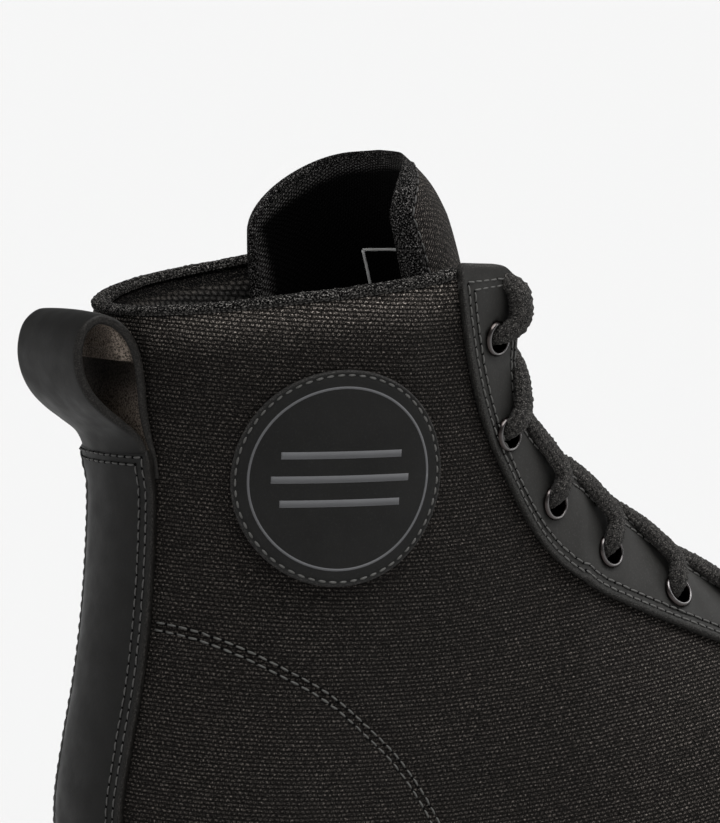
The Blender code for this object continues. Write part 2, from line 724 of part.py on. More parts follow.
def over_tongue(p):
    """Lift a point, along the tongue's own up direction, until a cord there clears it."""
    best = None
    for s in np.linspace(0, TONGUE_TOP, 141):
        here, inward = tongue_frame(s)
        offset = np.array([p[0], p[2]]) - here
        skew = abs(offset[0] * inward[1] - offset[1] * inward[0])
        if best is None or skew < best[0]:
            best = (skew, s, inward, np.dot(offset, inward))
    _, s, inward, depth = best
    across = np.clip((p[1] - FOOT.axis(p[0])) / TONGUE_SECTIONS.half(s), -0.95, 0.95)
    fall = TONGUE_SECTIONS.depth(s) * (1 - np.sqrt(1 - across ** 2)) ** TONGUE_ROUNDNESS
    lift = max(0.0, depth - fall + (LACE_RADIUS + LACE_CLEAR) * (1 + across ** 2))
    up = np.array([-inward[0], 0, -inward[1]])
    return p + up * lift, up


def lace_turns():
    """Where the cord turns, just past the edge of the facing beside each eyelet."""
    turns = {}
    for side in (-1, 1):
        edge = np.array([throat_point(row, side, -LACE_REACH) for row in THROAT[::-1]])
        run = np.concatenate([[0], np.cumsum(np.linalg.norm(np.diff(edge, axis=0), axis=1))])
        for number, p in eyelet_centres(side):
            gaps = np.linalg.norm(edge - p, axis=1)
            k = int(np.clip(gaps.argmin(), 1, len(edge) - 2))
            step = edge[k + 1] - edge[k - 1]
            share = np.dot(p - edge[k - 1], step) / np.dot(step, step)
            at = run[k - 1] + (run[k + 1] - run[k - 1]) * share
            beside = settle(np.array([np.interp(at, run, edge[:, axis]) for axis in range(3)]))
            turns[side, number] = away(beside, FACING_GAP + LEATHER + LACE_RISE)
    return turns


def make_lace(look):
    """Two cords that zigzag over the throat and join where they cross."""
    turns = lace_turns()
    cords = []
    for start in (-1, 1):
        points, ups = [], []
        side = start
        for n in range(1, EYELETS):
            here, there = turns[side, n], turns[-side, n + 1]
            for share in (0, 0.17, 0.34, 0.5, 0.66, 0.83):
                p, up = over_tongue(here + (there - here) * share)
                points.append(p)
                ups.append(up)
            side = -side
        bm = bmesh.new()
        tube(bm, points + [there], ups + [up], LACE_RADIUS, 6)
        cords.append(bm)
    lace = make_object("lace", cords[0], look)
    combine(lace, cutter("second_lace", cords[1]), "UNION")
    return lace


def centre_on_floor():
    """Move everything so that the boot's box is centred on the origin, in plan."""
    bpy.context.view_layer.update()
    corners = [made.matrix_world @ Vector(corner) for made in bpy.data.objects if not made.hide_render
               for corner in made.bound_box]
    middle = Vector([(min(axis) + max(axis)) / 2 for axis in zip(*corners)])
    for made in bpy.data.objects:
        made.location.x -= middle.x
        made.location.y -= middle.y


def main():
    for old in list(bpy.data.objects):
        bpy.data.objects.remove(old, do_unlink=True)
    canvas = material("canvas", (0.020, 0.018, 0.016), 0.9)
    leather = material("leather", (0.040, 0.041, 0.040), 0.55)
    rubber = material("rubber", (0.012, 0.012, 0.012), 0.7)
    lining = material("lining", (0.010, 0.010, 0.010), 0.95)
    metal = material("eyelet_metal", (0.45, 0.45, 0.46), 0.3, 1.0)
    cord = material("lace_cord", (0.012, 0.012, 0.012), 0.9)
    upper = make_upper(canvas)
    facing = make_facing(leather)
    holes = make_eyelets(metal)
    combine(upper, holes, "DIFFERENCE")
    combine(facing, holes, "DIFFERENCE")
    make_tongue(canvas)
    make_insole(lining)
    make_outsole(rubber)
    make_heel_stay(leather)
    make_badge(leather)
    make_pull_loop(leather)
    make_lace(cord)
    centre_on_floor()


main()
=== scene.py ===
"""Looks for the laced motorcycle ankle boot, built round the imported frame.

Sizes and tables are in millimetres in the boot's own axes: X forward from the heel,
Y to the wearer's left, Z up from the floor. place() turns them into the frame's metres.
"""
from math import cos, pi, radians, sin, tau

import bmesh
import bpy
import numpy as np
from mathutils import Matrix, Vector


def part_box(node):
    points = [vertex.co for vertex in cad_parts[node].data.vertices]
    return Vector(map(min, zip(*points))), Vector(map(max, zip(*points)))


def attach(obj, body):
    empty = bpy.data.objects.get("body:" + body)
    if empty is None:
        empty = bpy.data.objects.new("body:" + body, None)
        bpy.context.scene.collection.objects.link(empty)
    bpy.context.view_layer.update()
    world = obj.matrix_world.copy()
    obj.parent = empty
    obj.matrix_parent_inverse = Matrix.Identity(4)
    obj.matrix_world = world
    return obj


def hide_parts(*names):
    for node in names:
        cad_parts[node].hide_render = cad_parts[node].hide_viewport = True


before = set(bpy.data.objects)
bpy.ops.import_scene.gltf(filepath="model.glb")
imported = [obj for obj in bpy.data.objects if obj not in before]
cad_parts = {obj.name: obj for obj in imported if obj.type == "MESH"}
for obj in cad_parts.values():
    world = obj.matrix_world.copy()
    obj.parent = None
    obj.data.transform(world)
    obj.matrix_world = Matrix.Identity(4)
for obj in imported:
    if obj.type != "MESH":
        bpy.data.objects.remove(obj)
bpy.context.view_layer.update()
rng = np.random.default_rng(11)

MM = 0.001


# --- Driving sizes, mm -------------------------------------------------------
WALL = 2.6              # canvas, foam and lining of the upper
CANVAS = 1.25           # the outer layer of it
LINING_FACE = 1.35      # depth of the lining's outer face
LINING_PAD = 3.4        # how far the collar's padding stands in
GAP = 0.3               # between pieces that touch
LAP_GAP = 0.6           # under a curved overlay
FACING_GAP = 0.85       # under the facing, which bends two ways
FACING_UNDER = 0.35     # its underside is drawn this near the canvas, so that no gap shows
LEATHER = 1.4           # facings, badge
STAY_LEATHER = 1.5      # heel stay
EDGE_ROUND = 0.6        # cut leather edges are rounded to this radius
SEAM_INSET = 1.5        # first row of stitches from a leather edge
SEAM_GAP = 1.7          # second row from the first
SHANK_X = 61.0          # widest section of the shaft
SHAFT_SQUARENESS = 2.2  # how blunt the front of the shaft is
TOE_START = 232.0       # the toe rounds off from here
TOE_END = 297.0
TOE_SQUARENESS = 2.4
TUCK = 0.07             # the sides draw in towards the sole by this share
TUCK_HEIGHT = 16.0
WIDTH_BLEND = 55, 115   # heights over which the foot's width passes into the shaft's
FRONT_BLEND = 88, 130   # and its front into the shaft's
RISE_BLEND = 70, 112    # x over which the foot's top starts to count
FORM_END = 300.0        # the toe's end in the tables

EYELETS = 7             # on each facing
EYELET_INSET = 9.3      # from the facing's edge, at the top
EYELET_DRIFT = 2.6      # more of it lower down
FIRST_EYELET = 15.0     # from the collar, along the row
LAST_EYELET = 24.0      # from the foot of the throat
HOLE_CUT = 3.45         # radius of the hole punched for an eyelet
HOLE_REACH = 8.0        # the punch goes this far each way
DIMPLE = 0.30           # the leather draws down by this round an eyelet

FRONT_CORNER = 6.0      # radii of the facing's corners
REAR_CORNER = 2.0
END_RISE = 2.2          # its ends stand this far above the throat table's last row
END_BLEND = 16.0        # its corners are squeezed into this length of it
END_ROWS = 40           # rows over which the direction of its ends is taken
SEAM_GROOVE = 0.18      # stitches draw the facing down by this
STAY_GROOVE = 0.20      # and the heel stay
BADGE_GROOVE = 0.22     # and the badge
COUNTER_GROOVE = 0.45   # and the canvas at the heel counter
COLLAR_SWELL = 1.7      # the canvas swells over the collar's padding

STAY_HALF = 14.5        # half the width of the heel stay
STAY_TOP = 131.0
STAY_LIFT = 1.1         # it rides this high over the ends of the pull loop
STAY_SWELL = 0.35       # between its seams
LOOP_HALF = 14.0        # half the width of the pull loop's strap
LOOP_LEDGE = 2.6        # a fold of the strap's end stands up inside the loop
LOOP_BOW = 0.5          # the free strap bows out across its width
BADGE_RADIUS = 24.2
BADGE_SEAM = 1.1        # its stitches from its edge
BADGE_X, BADGE_Z = 46.3, 125.2          # its middle

INSOLE = 4.0            # its thickness
INSOLE_INSET = 0.9      # from the lining
TONGUE = 5.0            # padded thickness
TONGUE_RIM = 2.4        # radius of its rolled edge
TONGUE_SEAM = 3.0       # the canvas stops this far from its edge
TONGUE_LEAN = 0.15      # stations by which its top slopes up towards the lateral side
LEDGE = 2.8             # the sole stands out past the upper
GROOVE_WIDTH = 4.5
GROOVE_DEPTH = 4.5
ARCH_HALF = 70.0        # the cuts for arch and grooves pass both sides of the sole
GROOVE_HALF = 75.0
GROOVE_LOW = -8.0       # and its underside
SOLE_HALF = 45.0        # half the sole's width, over which CHEVRON is measured
HEEL_BEVEL_RUN = 12.0   # the length over which HEEL_BEVEL is measured

WEAVE_ROW = 0.92        # between rows of the canvas
WEAVE_BEAD = 1.28       # between threads along a row
BRAID = 2.7             # length after which the lace's braid repeats
BRAID_SWELL = 0.08      # share by which it swells and narrows
LACE_CLEAR = 1.85       # a strand's middle over the tongue
LACE_CROSS = 1.45       # and more where it passes over another

# Mesh: rows and columns of the sheets, columns on each side of a loop round the foot,
# corners of round sections, and steps in from a cut edge.
FACING_MESH = 260, 22
STAY_MESH = 120, 26
LOOP_MESH = 170, 24
TONGUE_MESH = 120, 64
UPPER_COLUMNS, LINING_COLUMNS, SOLE_COLUMNS, INSOLE_COLUMNS = 132, 84, 110, 90
UPPER_STEPS = 0.18, 0.16        # between rings, in rows of CLOSED_RINGS and of THROAT
LINING_STEPS = 0.3, 0.22
EYELET_SIDES, HOLE_SIDES, LACE_SIDES, BINDING_SIDES, STITCH_SIDES, NEEDLE_SIDES = 40, 24, 26, 18, 6, 8
LACE_STEP, BINDING_STEP, SEAM_STEP, TONGUE_SEAM_STEP = 0.42, 0.6, 0.6, 0.8
CUT_STEPS = (0.0, 0.06, 0.16, 0.32, 0.6, 1.2)

# Searches and curves: steps of a search by halving and of one for the nearest point,
# points along the facing's edges, and how many of them are averaged along the rear one.
HALVINGS = 40
SETTLE_STEPS = 12
FINE_STEPS = 6000
REAR_SMOOTHING = 401


# --- Small helpers -----------------------------------------------------------
def ease(low, high, at):
    """0 up to low and 1 from high, with a smooth rise between."""
    t = np.clip((np.asarray(at, float) - low) / (high - low), 0, 1)
    return t * t * (3 - 2 * t)


def unit(vectors):
    return vectors / np.linalg.norm(vectors, axis=-1, keepdims=True)


def turns(sides):
    """Angles of a polygon's corners."""
    return np.arange(sides) * tau / sides


def run_length(points):
    """Distance along each row of points from its start."""
    steps = np.linalg.norm(np.diff(points, axis=-2), axis=-1)
    return np.concatenate([np.zeros(steps.shape[:-1] + (1,)), np.cumsum(steps, axis=-1)], -1)


def along(at, run, rows):
    """Values of each column of rows at places along run."""
    return np.stack([np.interp(at, run, column) for column in rows.T], -1)


def resample(points, spacing):
    run = run_length(points)
    return along(np.linspace(0, run[-1], int(round(run[-1] / spacing)) + 1), run, points)


def halve(low, high, holds):
    """Where a test stops holding, between places where it does and does not."""
    for _ in range(HALVINGS):
        middle = (low + high) / 2
        found = holds(middle)
        low, high = np.where(found, middle, low), np.where(found, high, middle)
    return low


def border(count, length, steps):
    """Shares from 0 to 1 with extra places near both ends, at the steps in mm."""
    near = np.asarray(steps) / length
    middle = np.linspace(near[-1], 1 - near[-1], count)
    return np.concatenate([near[:-1], middle, 1 - near[:-1][::-1]])


def rounded(distance, radius):
    """How far a face drops at a distance from its rounded edge."""
    gap = np.clip(1 - distance / radius, 0, 1)
    return radius * (1 - np.sqrt(1 - gap ** 2))


def hump(at, width):
    """1 at 0, falling off smoothly on both sides."""
    return np.exp(-(at / width) ** 2)


# --- Tables ------------------------------------------------------------------
def smooth_curve(x, y):
    """A smooth curve through the points; flat beyond its ends."""
    slope = np.diff(y) / np.diff(x)
    gap = np.diff(x)
    m = np.concatenate([[slope[0]], (slope[:-1] * gap[1:] + slope[1:] * gap[:-1]) / (gap[1:] + gap[:-1]),
                        [slope[-1]]])

    def value(at):
        at = np.asarray(at, float)
        i = np.clip(np.searchsorted(x, at) - 1, 0, len(x) - 2)
        h = x[i + 1] - x[i]
        t = np.clip((at - x[i]) / h, 0, 1)
        return ((1 + 2 * t) * (1 - t) ** 2 * y[i] + t * t * (3 - 2 * t) * y[i + 1]
                + h * t * (1 - t) * ((1 - t) * m[i] - t * m[i + 1]))
    return value


class Table:
    """Rows of named columns; each later column is a smooth curve of the first."""

    def __init__(self, columns, *rows):
        self.rows = np.array(rows, float)
        names = columns.split()
        key = self.rows[:, 0]
        for k, name in enumerate(names[1:], 1):
            setattr(self, name, smooth_curve(key, self.rows[:, k]))


# Sections of the foot. feather: where the upper meets the sole. lateral, medial:
# half-widths from the axis. fullness: how boxy the section is across the top.
FOOT = Table("x feather lateral medial axis fullness",
             (0, 30.0, 35.5, 35.5, 0.0, 2.3),
             (40, 29.3, 35.5, 35.5, 0.0, 2.3),
             (75, 27.3, 35.0, 34.0, 0.0, 2.3),
             (110, 23.5, 37.5, 33.5, 0.0, 2.3),
             (150, 18.6, 43.0, 38.0, 0.5, 2.4),
             (190, 16.2, 49.0, 45.5, 1.5, 2.7),
             (215, 16.1, 50.0, 48.5, 2.8, 3.1),
             (240, 17.6, 47.5, 47.0, 5.0, 3.7),
             (265, 20.3, 43.0, 43.5, 7.5, 4.2),
             (300, 27.0, 38.0, 40.0, 10.5, 4.5))

# Sections of the shaft. back: the heel's profile. length: from the back to the
# widest section. width: half-width there.
SHAFT = Table("z back length width",
              (26, 6.2, 35.0, 36.5),
              (36, 2.6, 36.5, 36.5),
              (49, 1.6, 38.0, 36.5),
              (64, 3.6, 42.5, 36.7),
              (79, 6.4, 46.6, 37.5),
              (95, 8.5, 49.6, 38.3),
              (113, 9.9, 51.4, 39.4),
              (140, 10.0, 52.0, 42.0),
              (172, 11.4, 51.0, 45.0))

# The instep and toe ridge, where the two sides of the form would meet.
RIDGE = Table("x z",
              (114, 150), (116.5, 140), (119.5, 133.5), (125, 127.5), (133.5, 120.5), (149, 109.5),
              (160, 102.0), (176, 92.5), (190, 85.0), (205, 78.0), (225, 70.0), (250, 64.5), (275, 61.0),
              (300, 59.0))
RIDGE_FRONT = smooth_curve(RIDGE.rows[::-1, 1], RIDGE.rows[::-1, 0])

COLLAR = Table("x z",
               (11, 162.0), (23.5, 163.6), (36, 165.2), (51, 166.7), (63, 168.0), (70, 169.0),
               (78, 170.4), (86, 170.6), (91, 169.0))

# One row for each ring of the open shaft, from the foot of the throat to the collar:
# its height at the heel, the throat's edge, and the facing's rear edge.
# Columns: heel_z, edge x y z, rear edge x y z.
THROAT = np.array((
    (88.0, 195.5, 6.0, 81.9, 213.0, 13.0, 71.0),
    (90.5, 190.0, 11.0, 83.3, 204.0, 22.5, 68.5),
    (94.0, 181.5, 15.5, 86.0, 191.0, 29.0, 68.5),
    (98.0, 171.5, 18.3, 89.0, 176.0, 31.0, 72.0),
    (102.0, 160.5, 20.3, 93.2, 161.5, 31.5, 77.8),
    (106.5, 150.0, 21.0, 99.5, 148.5, 31.3, 83.2),
    (111.0, 140.0, 21.8, 106.2, 136.5, 31.0, 88.0),
    (115.5, 130.5, 23.5, 112.2, 126.0, 31.0, 92.4),
    (120.0, 121.0, 26.5, 117.4, 116.5, 31.8, 96.6),
    (124.5, 112.0, 29.5, 123.0, 107.5, 33.3, 102.3),
    (129.5, 104.0, 32.3, 129.3, 99.5, 35.4, 110.0),
    (135.0, 97.6, 35.0, 135.0, 92.5, 37.2, 119.5),
    (140.5, 94.3, 36.6, 141.5, 86.3, 39.0, 129.5),
    (146.0, 93.2, 37.1, 148.8, 81.3, 40.8, 139.5),
    (151.5, 93.4, 37.4, 156.0, 77.8, 42.2, 149.5),
    (157.0, 93.0, 38.0, 163.0, 75.2, 43.6, 159.5),
    (161.5, 90.5, 39.6, 169.3, 73.4, 44.8, 169.2)))
THROAT_FOOT = 198.0     # x of the closed end of the throat
FACING_FOOT = 217.5     # x of the facing's front end on the ridge
THROAT_HEEL_Z = 86.0    # height at the heel of the ring through the throat's foot
CLOSED_RINGS = (0.0, 0.1, 0.22, 0.36, 0.5, 0.62, 0.73, 0.83, 0.91, 1.0)

# Tongue, from its end under the vamp to its top: the ridge line of its outer face,
# its half-width, how far back its edges lie, the tilt of its section in degrees, how
# much nearer the front its lateral edge lies, and how far its face draws in.
TONGUE_SECTIONS = Table("s x z half depth tilt twist draw",
                        (0, 210, 68.5, 20.0, 5.0, 63, 0, 0),
                        (1, 200, 73.5, 21.0, 6.0, 63, 0, 0),
                        (2, 189, 79.0, 21.5, 8.0, 63, 0, 0),
                        (3, 177, 84.8, 21.5, 10.0, 62, 0, 0),
                        (4, 165, 91.0, 21.8, 12.5, 60, 0, 0),
                        (5, 153, 97.6, 22.3, 15.0, 58, 0, 0),
                        (6, 141, 105.0, 23.3, 18.0, 54, 0, 0),
                        (7, 130, 112.5, 25.5, 21.5, 48, 0, 0),
                        (8, 119.5, 120.5, 28.2, 25.0, 41, 0, 0),
                        (9, 111, 130.0, 30.8, 28.5, 32, 0, 0),
                        (10, 104.5, 141.5, 32.7, 31.0, 22, 0.02, 0),
                        (11, 100.5, 154.0, 34.2, 31.5, 13, 0.06, 0),
                        (12, 96.8, 168.0, 35.0, 29.8, 6, 0.07, 0),
                        (13, 91.6, 182.0, 35.0, 25.8, 3, 0.04, 0),
                        (13.5, 88.0, 189.3, 34.8, 23.2, 2, 0.00, 1.2),
                        (14, 84.2, 196.0, 34.6, 20.6, 1, -0.04, 4.4))
TONGUE_CORNER = 28.0    # the upper corners round off over this length of the top edge
TONGUE_CORNER_DROP = 15.0       # and by this much
TONGUE_STEP = 13.5      # height of one station of its table near the top
TONGUE_TOP = 14.0       # the last station
TONGUE_ROUND_FROM = 12.0        # the top edge's outline is worked in from here up
TONGUE_ROUNDNESS = 0.85         # 1 is an oval section; less falls away sooner from its middle
TONGUE_WAVE = 0.3       # height of the faint waves over its padding

# Outsole: the underside lifts at the back of the heel and at the toe.
HEEL_BEVEL_START, HEEL_BEVEL = 8.0, 3.0
SPRING_START, TOE_SPRING = 222.0, 11.5
ARCH = ((79, -3), (81.5, 9), (88, 13), (104, 11.4), (124, 7.0), (143, 1.6), (150, -3))
HEEL_GROOVES = (15.0, 33.0, 51.0)
FORE_GROOVES = (163.0, 180.0, 197.0, 214.0, 231.0, 248.0, 265.0, 282.0)
CHEVRON = 9.0           # how far a groove's ends trail its middle


# --- The form ----------------------------------------------------------------
def form_width(x, z, side):
    """Half-width of the form at its fullest, from the foot's and the shaft's tables."""
    foot = np.where(side < 0, FOOT.lateral(x), FOOT.medial(x))
    up = ease(*WIDTH_BLEND, z)
    low = np.clip(1 - (z - FOOT.feather(x)) / TUCK_HEIGHT, 0, 1)
    return (foot * (1 - up) + SHAFT.width(z) * up) * (1 - TUCK * low ** 2)


def closure(x, z):
    """0 along the middle of the form, 1 where its outline closes at heel, ridge and toe."""
    length = SHAFT.length(z)
    heel = np.clip((SHAFT.back(z) + length - x) / length, 0, None) ** 2
    toe = np.clip((x - TOE_START) / (TOE_END - TOE_START), 0, None) ** TOE_SQUARENESS
    feather = FOOT.feather(x)
    rise = np.clip((z - feather) / (RIDGE.z(x) - feather), 0, None) ** FOOT.fullness(x)
    front = np.clip((x - SHANK_X) / (RIDGE_FRONT(z) - SHANK_X), 0, None) ** SHAFT_SQUARENESS
    up = ease(*FRONT_BLEND, z)
    return heel + toe + (1 - up) * rise * ease(*RISE_BLEND, x) + up * front


def half_width(x, z, side):
    return form_width(x, z, side) * np.sqrt(np.clip(1 - closure(x, z), 0, None))


def level(p):
    """1 on the form's surface, less inside."""
    x, y, z = p[..., 0], p[..., 1] - FOOT.axis(p[..., 0]), p[..., 2]
    return (y / form_width(x, z, np.where(y < 0, -1, 1))) ** 2 + closure(x, z)


def gradient(p, step=0.2):
    return np.stack([(level(p + d) - level(p - d)) / (2 * step) for d in np.eye(3) * step], -1)


def outward(p):
    """Unit normals of the form at points on it."""
    return unit(gradient(p))


def settle(p):
    """Move points to the nearest place on the form."""
    p = np.array(p, float)
    for _ in range(SETTLE_STEPS):
        g = gradient(p)
        p = p - (level(p) - 1)[..., None] * g / (g * g).sum(-1, keepdims=True)
    return p


def on_form(line, height):
    """Points of a line lifted off the form, and their normals."""
    normals = outward(line)
    return line + normals * np.asarray(height)[..., None], normals


def side_point(x, z, side):
    return np.stack([x, FOOT.axis(x) + side * half_width(x, z, side), z], -1)


# --- The rings of the upper --------------------------------------------------
def spread(count, end):
    """Steps from 0 to 1, close together at the start and, as end nears 1, at the end."""
    u = np.linspace(0, 1, count + 1)
    return (1 - np.cos(pi * end * u)) / (1 - cos(pi * end))


def low_ring_z(x, share):
    """Height of a closed ring: a share of the way from the sole to the throat's foot."""
    top = THROAT_HEEL_Z + (float(RIDGE.z(THROAT_FOOT)) - THROAT_HEEL_Z) * x / THROAT_FOOT
    feather = FOOT.feather(x)
    return feather + (top - feather) * share


def meeting(share):
    """x where a closed ring meets the ridge or the toe."""
    if share == 1.0:
        return THROAT_FOOT
    return float(halve(150.0, 320.0, lambda x: closure(x, low_ring_z(x, share)) < 1))


def closed_ring(share, count):
    """Loop round heel and toe: heel, lateral side, front, medial side."""
    start = float(SHAFT.back(low_ring_z(5.0, share)))
    x = start + (meeting(share) - start) * spread(count, 1.0)
    z = low_ring_z(x, share)
    lateral, medial = side_point(x, z, -1), side_point(x, z, 1)
    lateral[0, 1] = medial[0, 1] = 0.0
    lateral[-1, 1] = FOOT.axis(x[-1])
    return lateral[::-1], medial[1:]


def throat_point(row, side, back_off=0.0):
    """The throat's edge, optionally moved towards the facing's rear edge."""
    edge, lap = row[1:4], row[4:7]
    p = edge + unit(lap - edge) * back_off
    return settle(np.array([p[0], FOOT.axis(p[0]) + side * p[1], p[2]]))


def open_ring(row, count):
    """Strip from the lateral throat edge round the heel to the medial one."""
    heel_z = row[0]
    share = (heel_z - THROAT_HEEL_Z) / (THROAT[-1][0] - THROAT_HEEL_Z)
    start = float(SHAFT.back(heel_z))
    halves = []
    for side in (-1, 1):
        end = throat_point(row, side, 0.8)
        forward = spread(count, 1.0 - 0.27 * ease(0.0, 0.5, share))
        x = start + (end[0] - start) * forward
        line = heel_z + (end[2] - heel_z) * forward
        collar_line = COLLAR.z(11) + (COLLAR.z(91) - COLLAR.z(11)) * forward
        z = line + (COLLAR.z(x) - collar_line) * share ** 4
        z[-1] = end[2]
        half = side_point(x, z, side)
        half[0, 1] = 0.0
        half[-1] = end
        halves.append(half)
    return halves[0][::-1], halves[1][1:]


def fine_rows(table, step):
    """Rows of a table, with more between them on smooth curves."""
    at = np.arange(0, len(table) - 1 + step / 2, step)
    return np.stack([smooth_curve(np.arange(len(table)), column)(at) for column in table.T], -1)


def eyelet_places():
    """(side, number from the top, point on the form, outward normal) of each eyelet."""
    places = []
    shares = np.linspace(0, 1, len(THROAT))
    for side in (-1, 1):
        line = np.array([throat_point(row, side, EYELET_INSET + EYELET_DRIFT * ease(0.25, 0.5, share))
                         for row, share in zip(THROAT[::-1], shares)])
        run = run_length(line)
        at = np.linspace(FIRST_EYELET, run[-1] - LAST_EYELET, EYELETS)
        for number, p in enumerate(settle(along(at, run, line)), 1):
            places.append((side, number, p, outward(p)))
    return places


def foot_loop(distance, rise, count):
    """The feather line as a loop, moved out in plan by distance and up by rise(x)."""
    lateral, medial = closed_ring(0.0, count)
    loop = np.concatenate([lateral[::-1], medial[:-1][::-1]])
    ahead = np.roll(loop, -1, axis=0) - np.roll(loop, 1, axis=0)
    loop += unit(np.stack([ahead[:, 1], -ahead[:, 0], np.zeros(len(loop))], -1)) * distance
    loop[:, 2] = rise(loop[:, 0])
    return loop


def ground(x):
    """Height of the sole's underside above the floor, before the arch is cut."""
    bevel = np.clip((HEEL_BEVEL_START - x) / HEEL_BEVEL_RUN, 0, None) ** 1.5 * HEEL_BEVEL
    spring = np.clip((x - SPRING_START) / (FORM_END - SPRING_START), 0, None) ** 1.6 * TOE_SPRING
    return bevel + spring


# --- Placing -----------------------------------------------------------------
def frame_shift():
    """From the boot's own axes to the frame's, in mm."""
    front = max(meeting(share) for share in CLOSED_RINGS)
    low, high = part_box("heel_stay")
    return np.array([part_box("upper")[1].x / MM - front, (low.y + high.y) / 2 / MM, 0.0])


SHIFT = frame_shift()


def place(points):
    return (np.asarray(points, float) + SHIFT) * MM


# --- Mesh building -----------------------------------------------------------
class Piece:
    """Collects grids of points into one mesh, with two layers for its material:
    cloth, the position on the flat material in mm, and tone, a free 0 to 1."""

    def __init__(self):
        self.points, self.faces, self.cloth, self.tone, self.slots = [], [], [], [], []
        self.count = 0

    def add(self, rows, cloth=None, tone=0.0):
        rows = np.asarray(rows, float)
        shape = rows.shape[:-1]
        index = self.count + np.arange(int(np.prod(shape))).reshape(shape)
        flat = np.zeros((index.size, 3))
        if cloth is not None:
            flat[:, :2] = np.asarray(cloth, float).reshape(-1, 2)
        self.points.append(rows.reshape(-1, 3))
        self.cloth.append(flat)
        self.tone.append(np.broadcast_to(np.asarray(tone, float), shape).reshape(-1))
        self.count += index.size
        return index

    def quads(self, first, second, slot=0):
        """Quads between two index rows of equal length."""
        corners = np.stack([first[:-1], first[1:], second[1:], second[:-1]], -1)
        self.faces.append(corners)
        self.slots.append(np.broadcast_to(slot, len(corners)))

    def skin(self, index, slot=0, wrap=False):
        """Quads between all rows of a grid."""
        for low, high in zip(index, index[1:]):
            if wrap:
                low, high = np.append(low, low[0]), np.append(high, high[0])
            self.quads(low, high, slot)

    def rim(self, out, into, slot=0):
        """Walls between the borders of two grids."""
        for side in (0, -1):
            self.quads(out[side], into[side], slot)
        for side in (0, -1):
            self.quads(out[:, side], into[:, side], slot)

    def fan(self, loop):
        """Close a loop with a ladder of quads across it."""
        half = (len(loop) - 1) // 2
        self.quads(loop[:half + 1], loop[::-1][:half + 1])

    def tube(self, rows, cloth=None, tone=0.0):
        """Closed solid through a row of rings."""
        index = self.add(rows, cloth, tone)
        self.skin(index, wrap=True)
        self.fan(index[0])
        self.fan(index[-1])

    def make(self, name, *looks, smooth_angle=None):
        points = place(np.concatenate(self.points))
        mesh = bpy.data.meshes.new(name)
        mesh.from_pydata(points.tolist(), [], np.concatenate(self.faces).tolist())
        mesh.polygons.foreach_set("material_index", np.concatenate(self.slots).astype(np.int32))
        for layer, kind, part, values in (("cloth", "FLOAT_VECTOR", "vector", self.cloth),
                                          ("tone", "FLOAT", "value", self.tone)):
            values = np.concatenate(values).astype(np.float32)
            mesh.attributes.new(layer, kind, "POINT").data.foreach_set(part, values.ravel())
        bm = bmesh.new()
        bm.from_mesh(mesh)
        bmesh.ops.delete(bm, geom=[v for v in bm.verts if not v.link_faces], context="VERTS")
        bmesh.ops.remove_doubles(bm, verts=bm.verts, dist=1e-6)
        bmesh.ops.dissolve_degenerate(bm, edges=bm.edges, dist=1e-7)
        bmesh.ops.recalc_face_normals(bm, faces=bm.faces)
        bm.to_mesh(mesh)
        bm.free()
        mesh.shade_smooth()
        if smooth_angle:
            mesh.set_sharp_from_angle(angle=radians(smooth_angle))
        for look in looks:
            mesh.materials.append(look)
        return linked(name, mesh)


def linked(name, data):
    """A new object in the scene."""
    made = bpy.data.objects.new(name, data)
    bpy.context.scene.collection.objects.link(made)
    return made


def shell(name, looks, outer, inner, cloth, tone, inner_slot=0, inner_tone=None, border_count=0):
    """Closed solid between two grids; a border of the inner one keeps the outer look."""
    piece = Piece()
    out = piece.add(outer, cloth, tone)
    into = piece.add(inner, cloth, tone if inner_tone is None else inner_tone)
    piece.skin(out)
    last = into.shape[1] - border_count
    piece.skin(into[:, border_count:last], inner_slot)
    if border_count:
        piece.skin(into[:, :border_count + 1])
        piece.skin(into[:, last - 1:])
    piece.rim(out, into)
    return piece.make(name, *looks)


def circle(normal, sides):
    """Corners of a unit circle square to a direction."""
    across = np.array(Vector(normal).orthogonal().normalized())
    angle = turns(sides)[:, None]
    return np.cos(angle) * across + np.sin(angle) * np.cross(normal, across)


def cut_with(bm, *targets):
    """Subtract a closed mesh from each target."""
    bmesh.ops.recalc_face_normals(bm, faces=bm.faces)
    mesh = bpy.data.meshes.new("cutter")
    bm.to_mesh(mesh)
    bm.free()
    tool = linked("cutter", mesh)
    for target in targets:
        change = target.modifiers.new("cut", "BOOLEAN")
        change.operation = "DIFFERENCE"
        change.object = tool
        bpy.context.view_layer.update()
        depsgraph = bpy.context.evaluated_depsgraph_get()
        result = bpy.data.meshes.new_from_object(target.evaluated_get(depsgraph))
        target.modifiers.clear()
        target.data = result
    bpy.data.objects.remove(tool)


def add_prism(bm, low, high):
    """Closed prism between two outlines with the same number of corners."""
    low, high = ([bm.verts.new(corner) for corner in place(outline)] for outline in (low, high))
    for k in range(len(low)):
        n = (k + 1) % len(low)
        bm.faces.new([low[k], low[n], high[n], high[k]])
    bm.faces.new(low)
    bm.faces.new(high[::-1])


# --- Materials ---------------------------------------------------------------
class Value:
    """A number or colour that a material's nodes work out, with their arithmetic."""

    def __init__(self, look, socket):
        self.look, self.socket = look, socket

    def __add__(self, other):
        return self.look.math("ADD", self, other)

    def __mul__(self, other):
        return self.look.math("MULTIPLY", self, other)

    def __truediv__(self, other):
        return self.look.math("DIVIDE", self, other)

    def __pow__(self, other):
        return self.look.math("POWER", self, other)


def shade(colour, factor):
    return tuple(part * factor for part in colour)


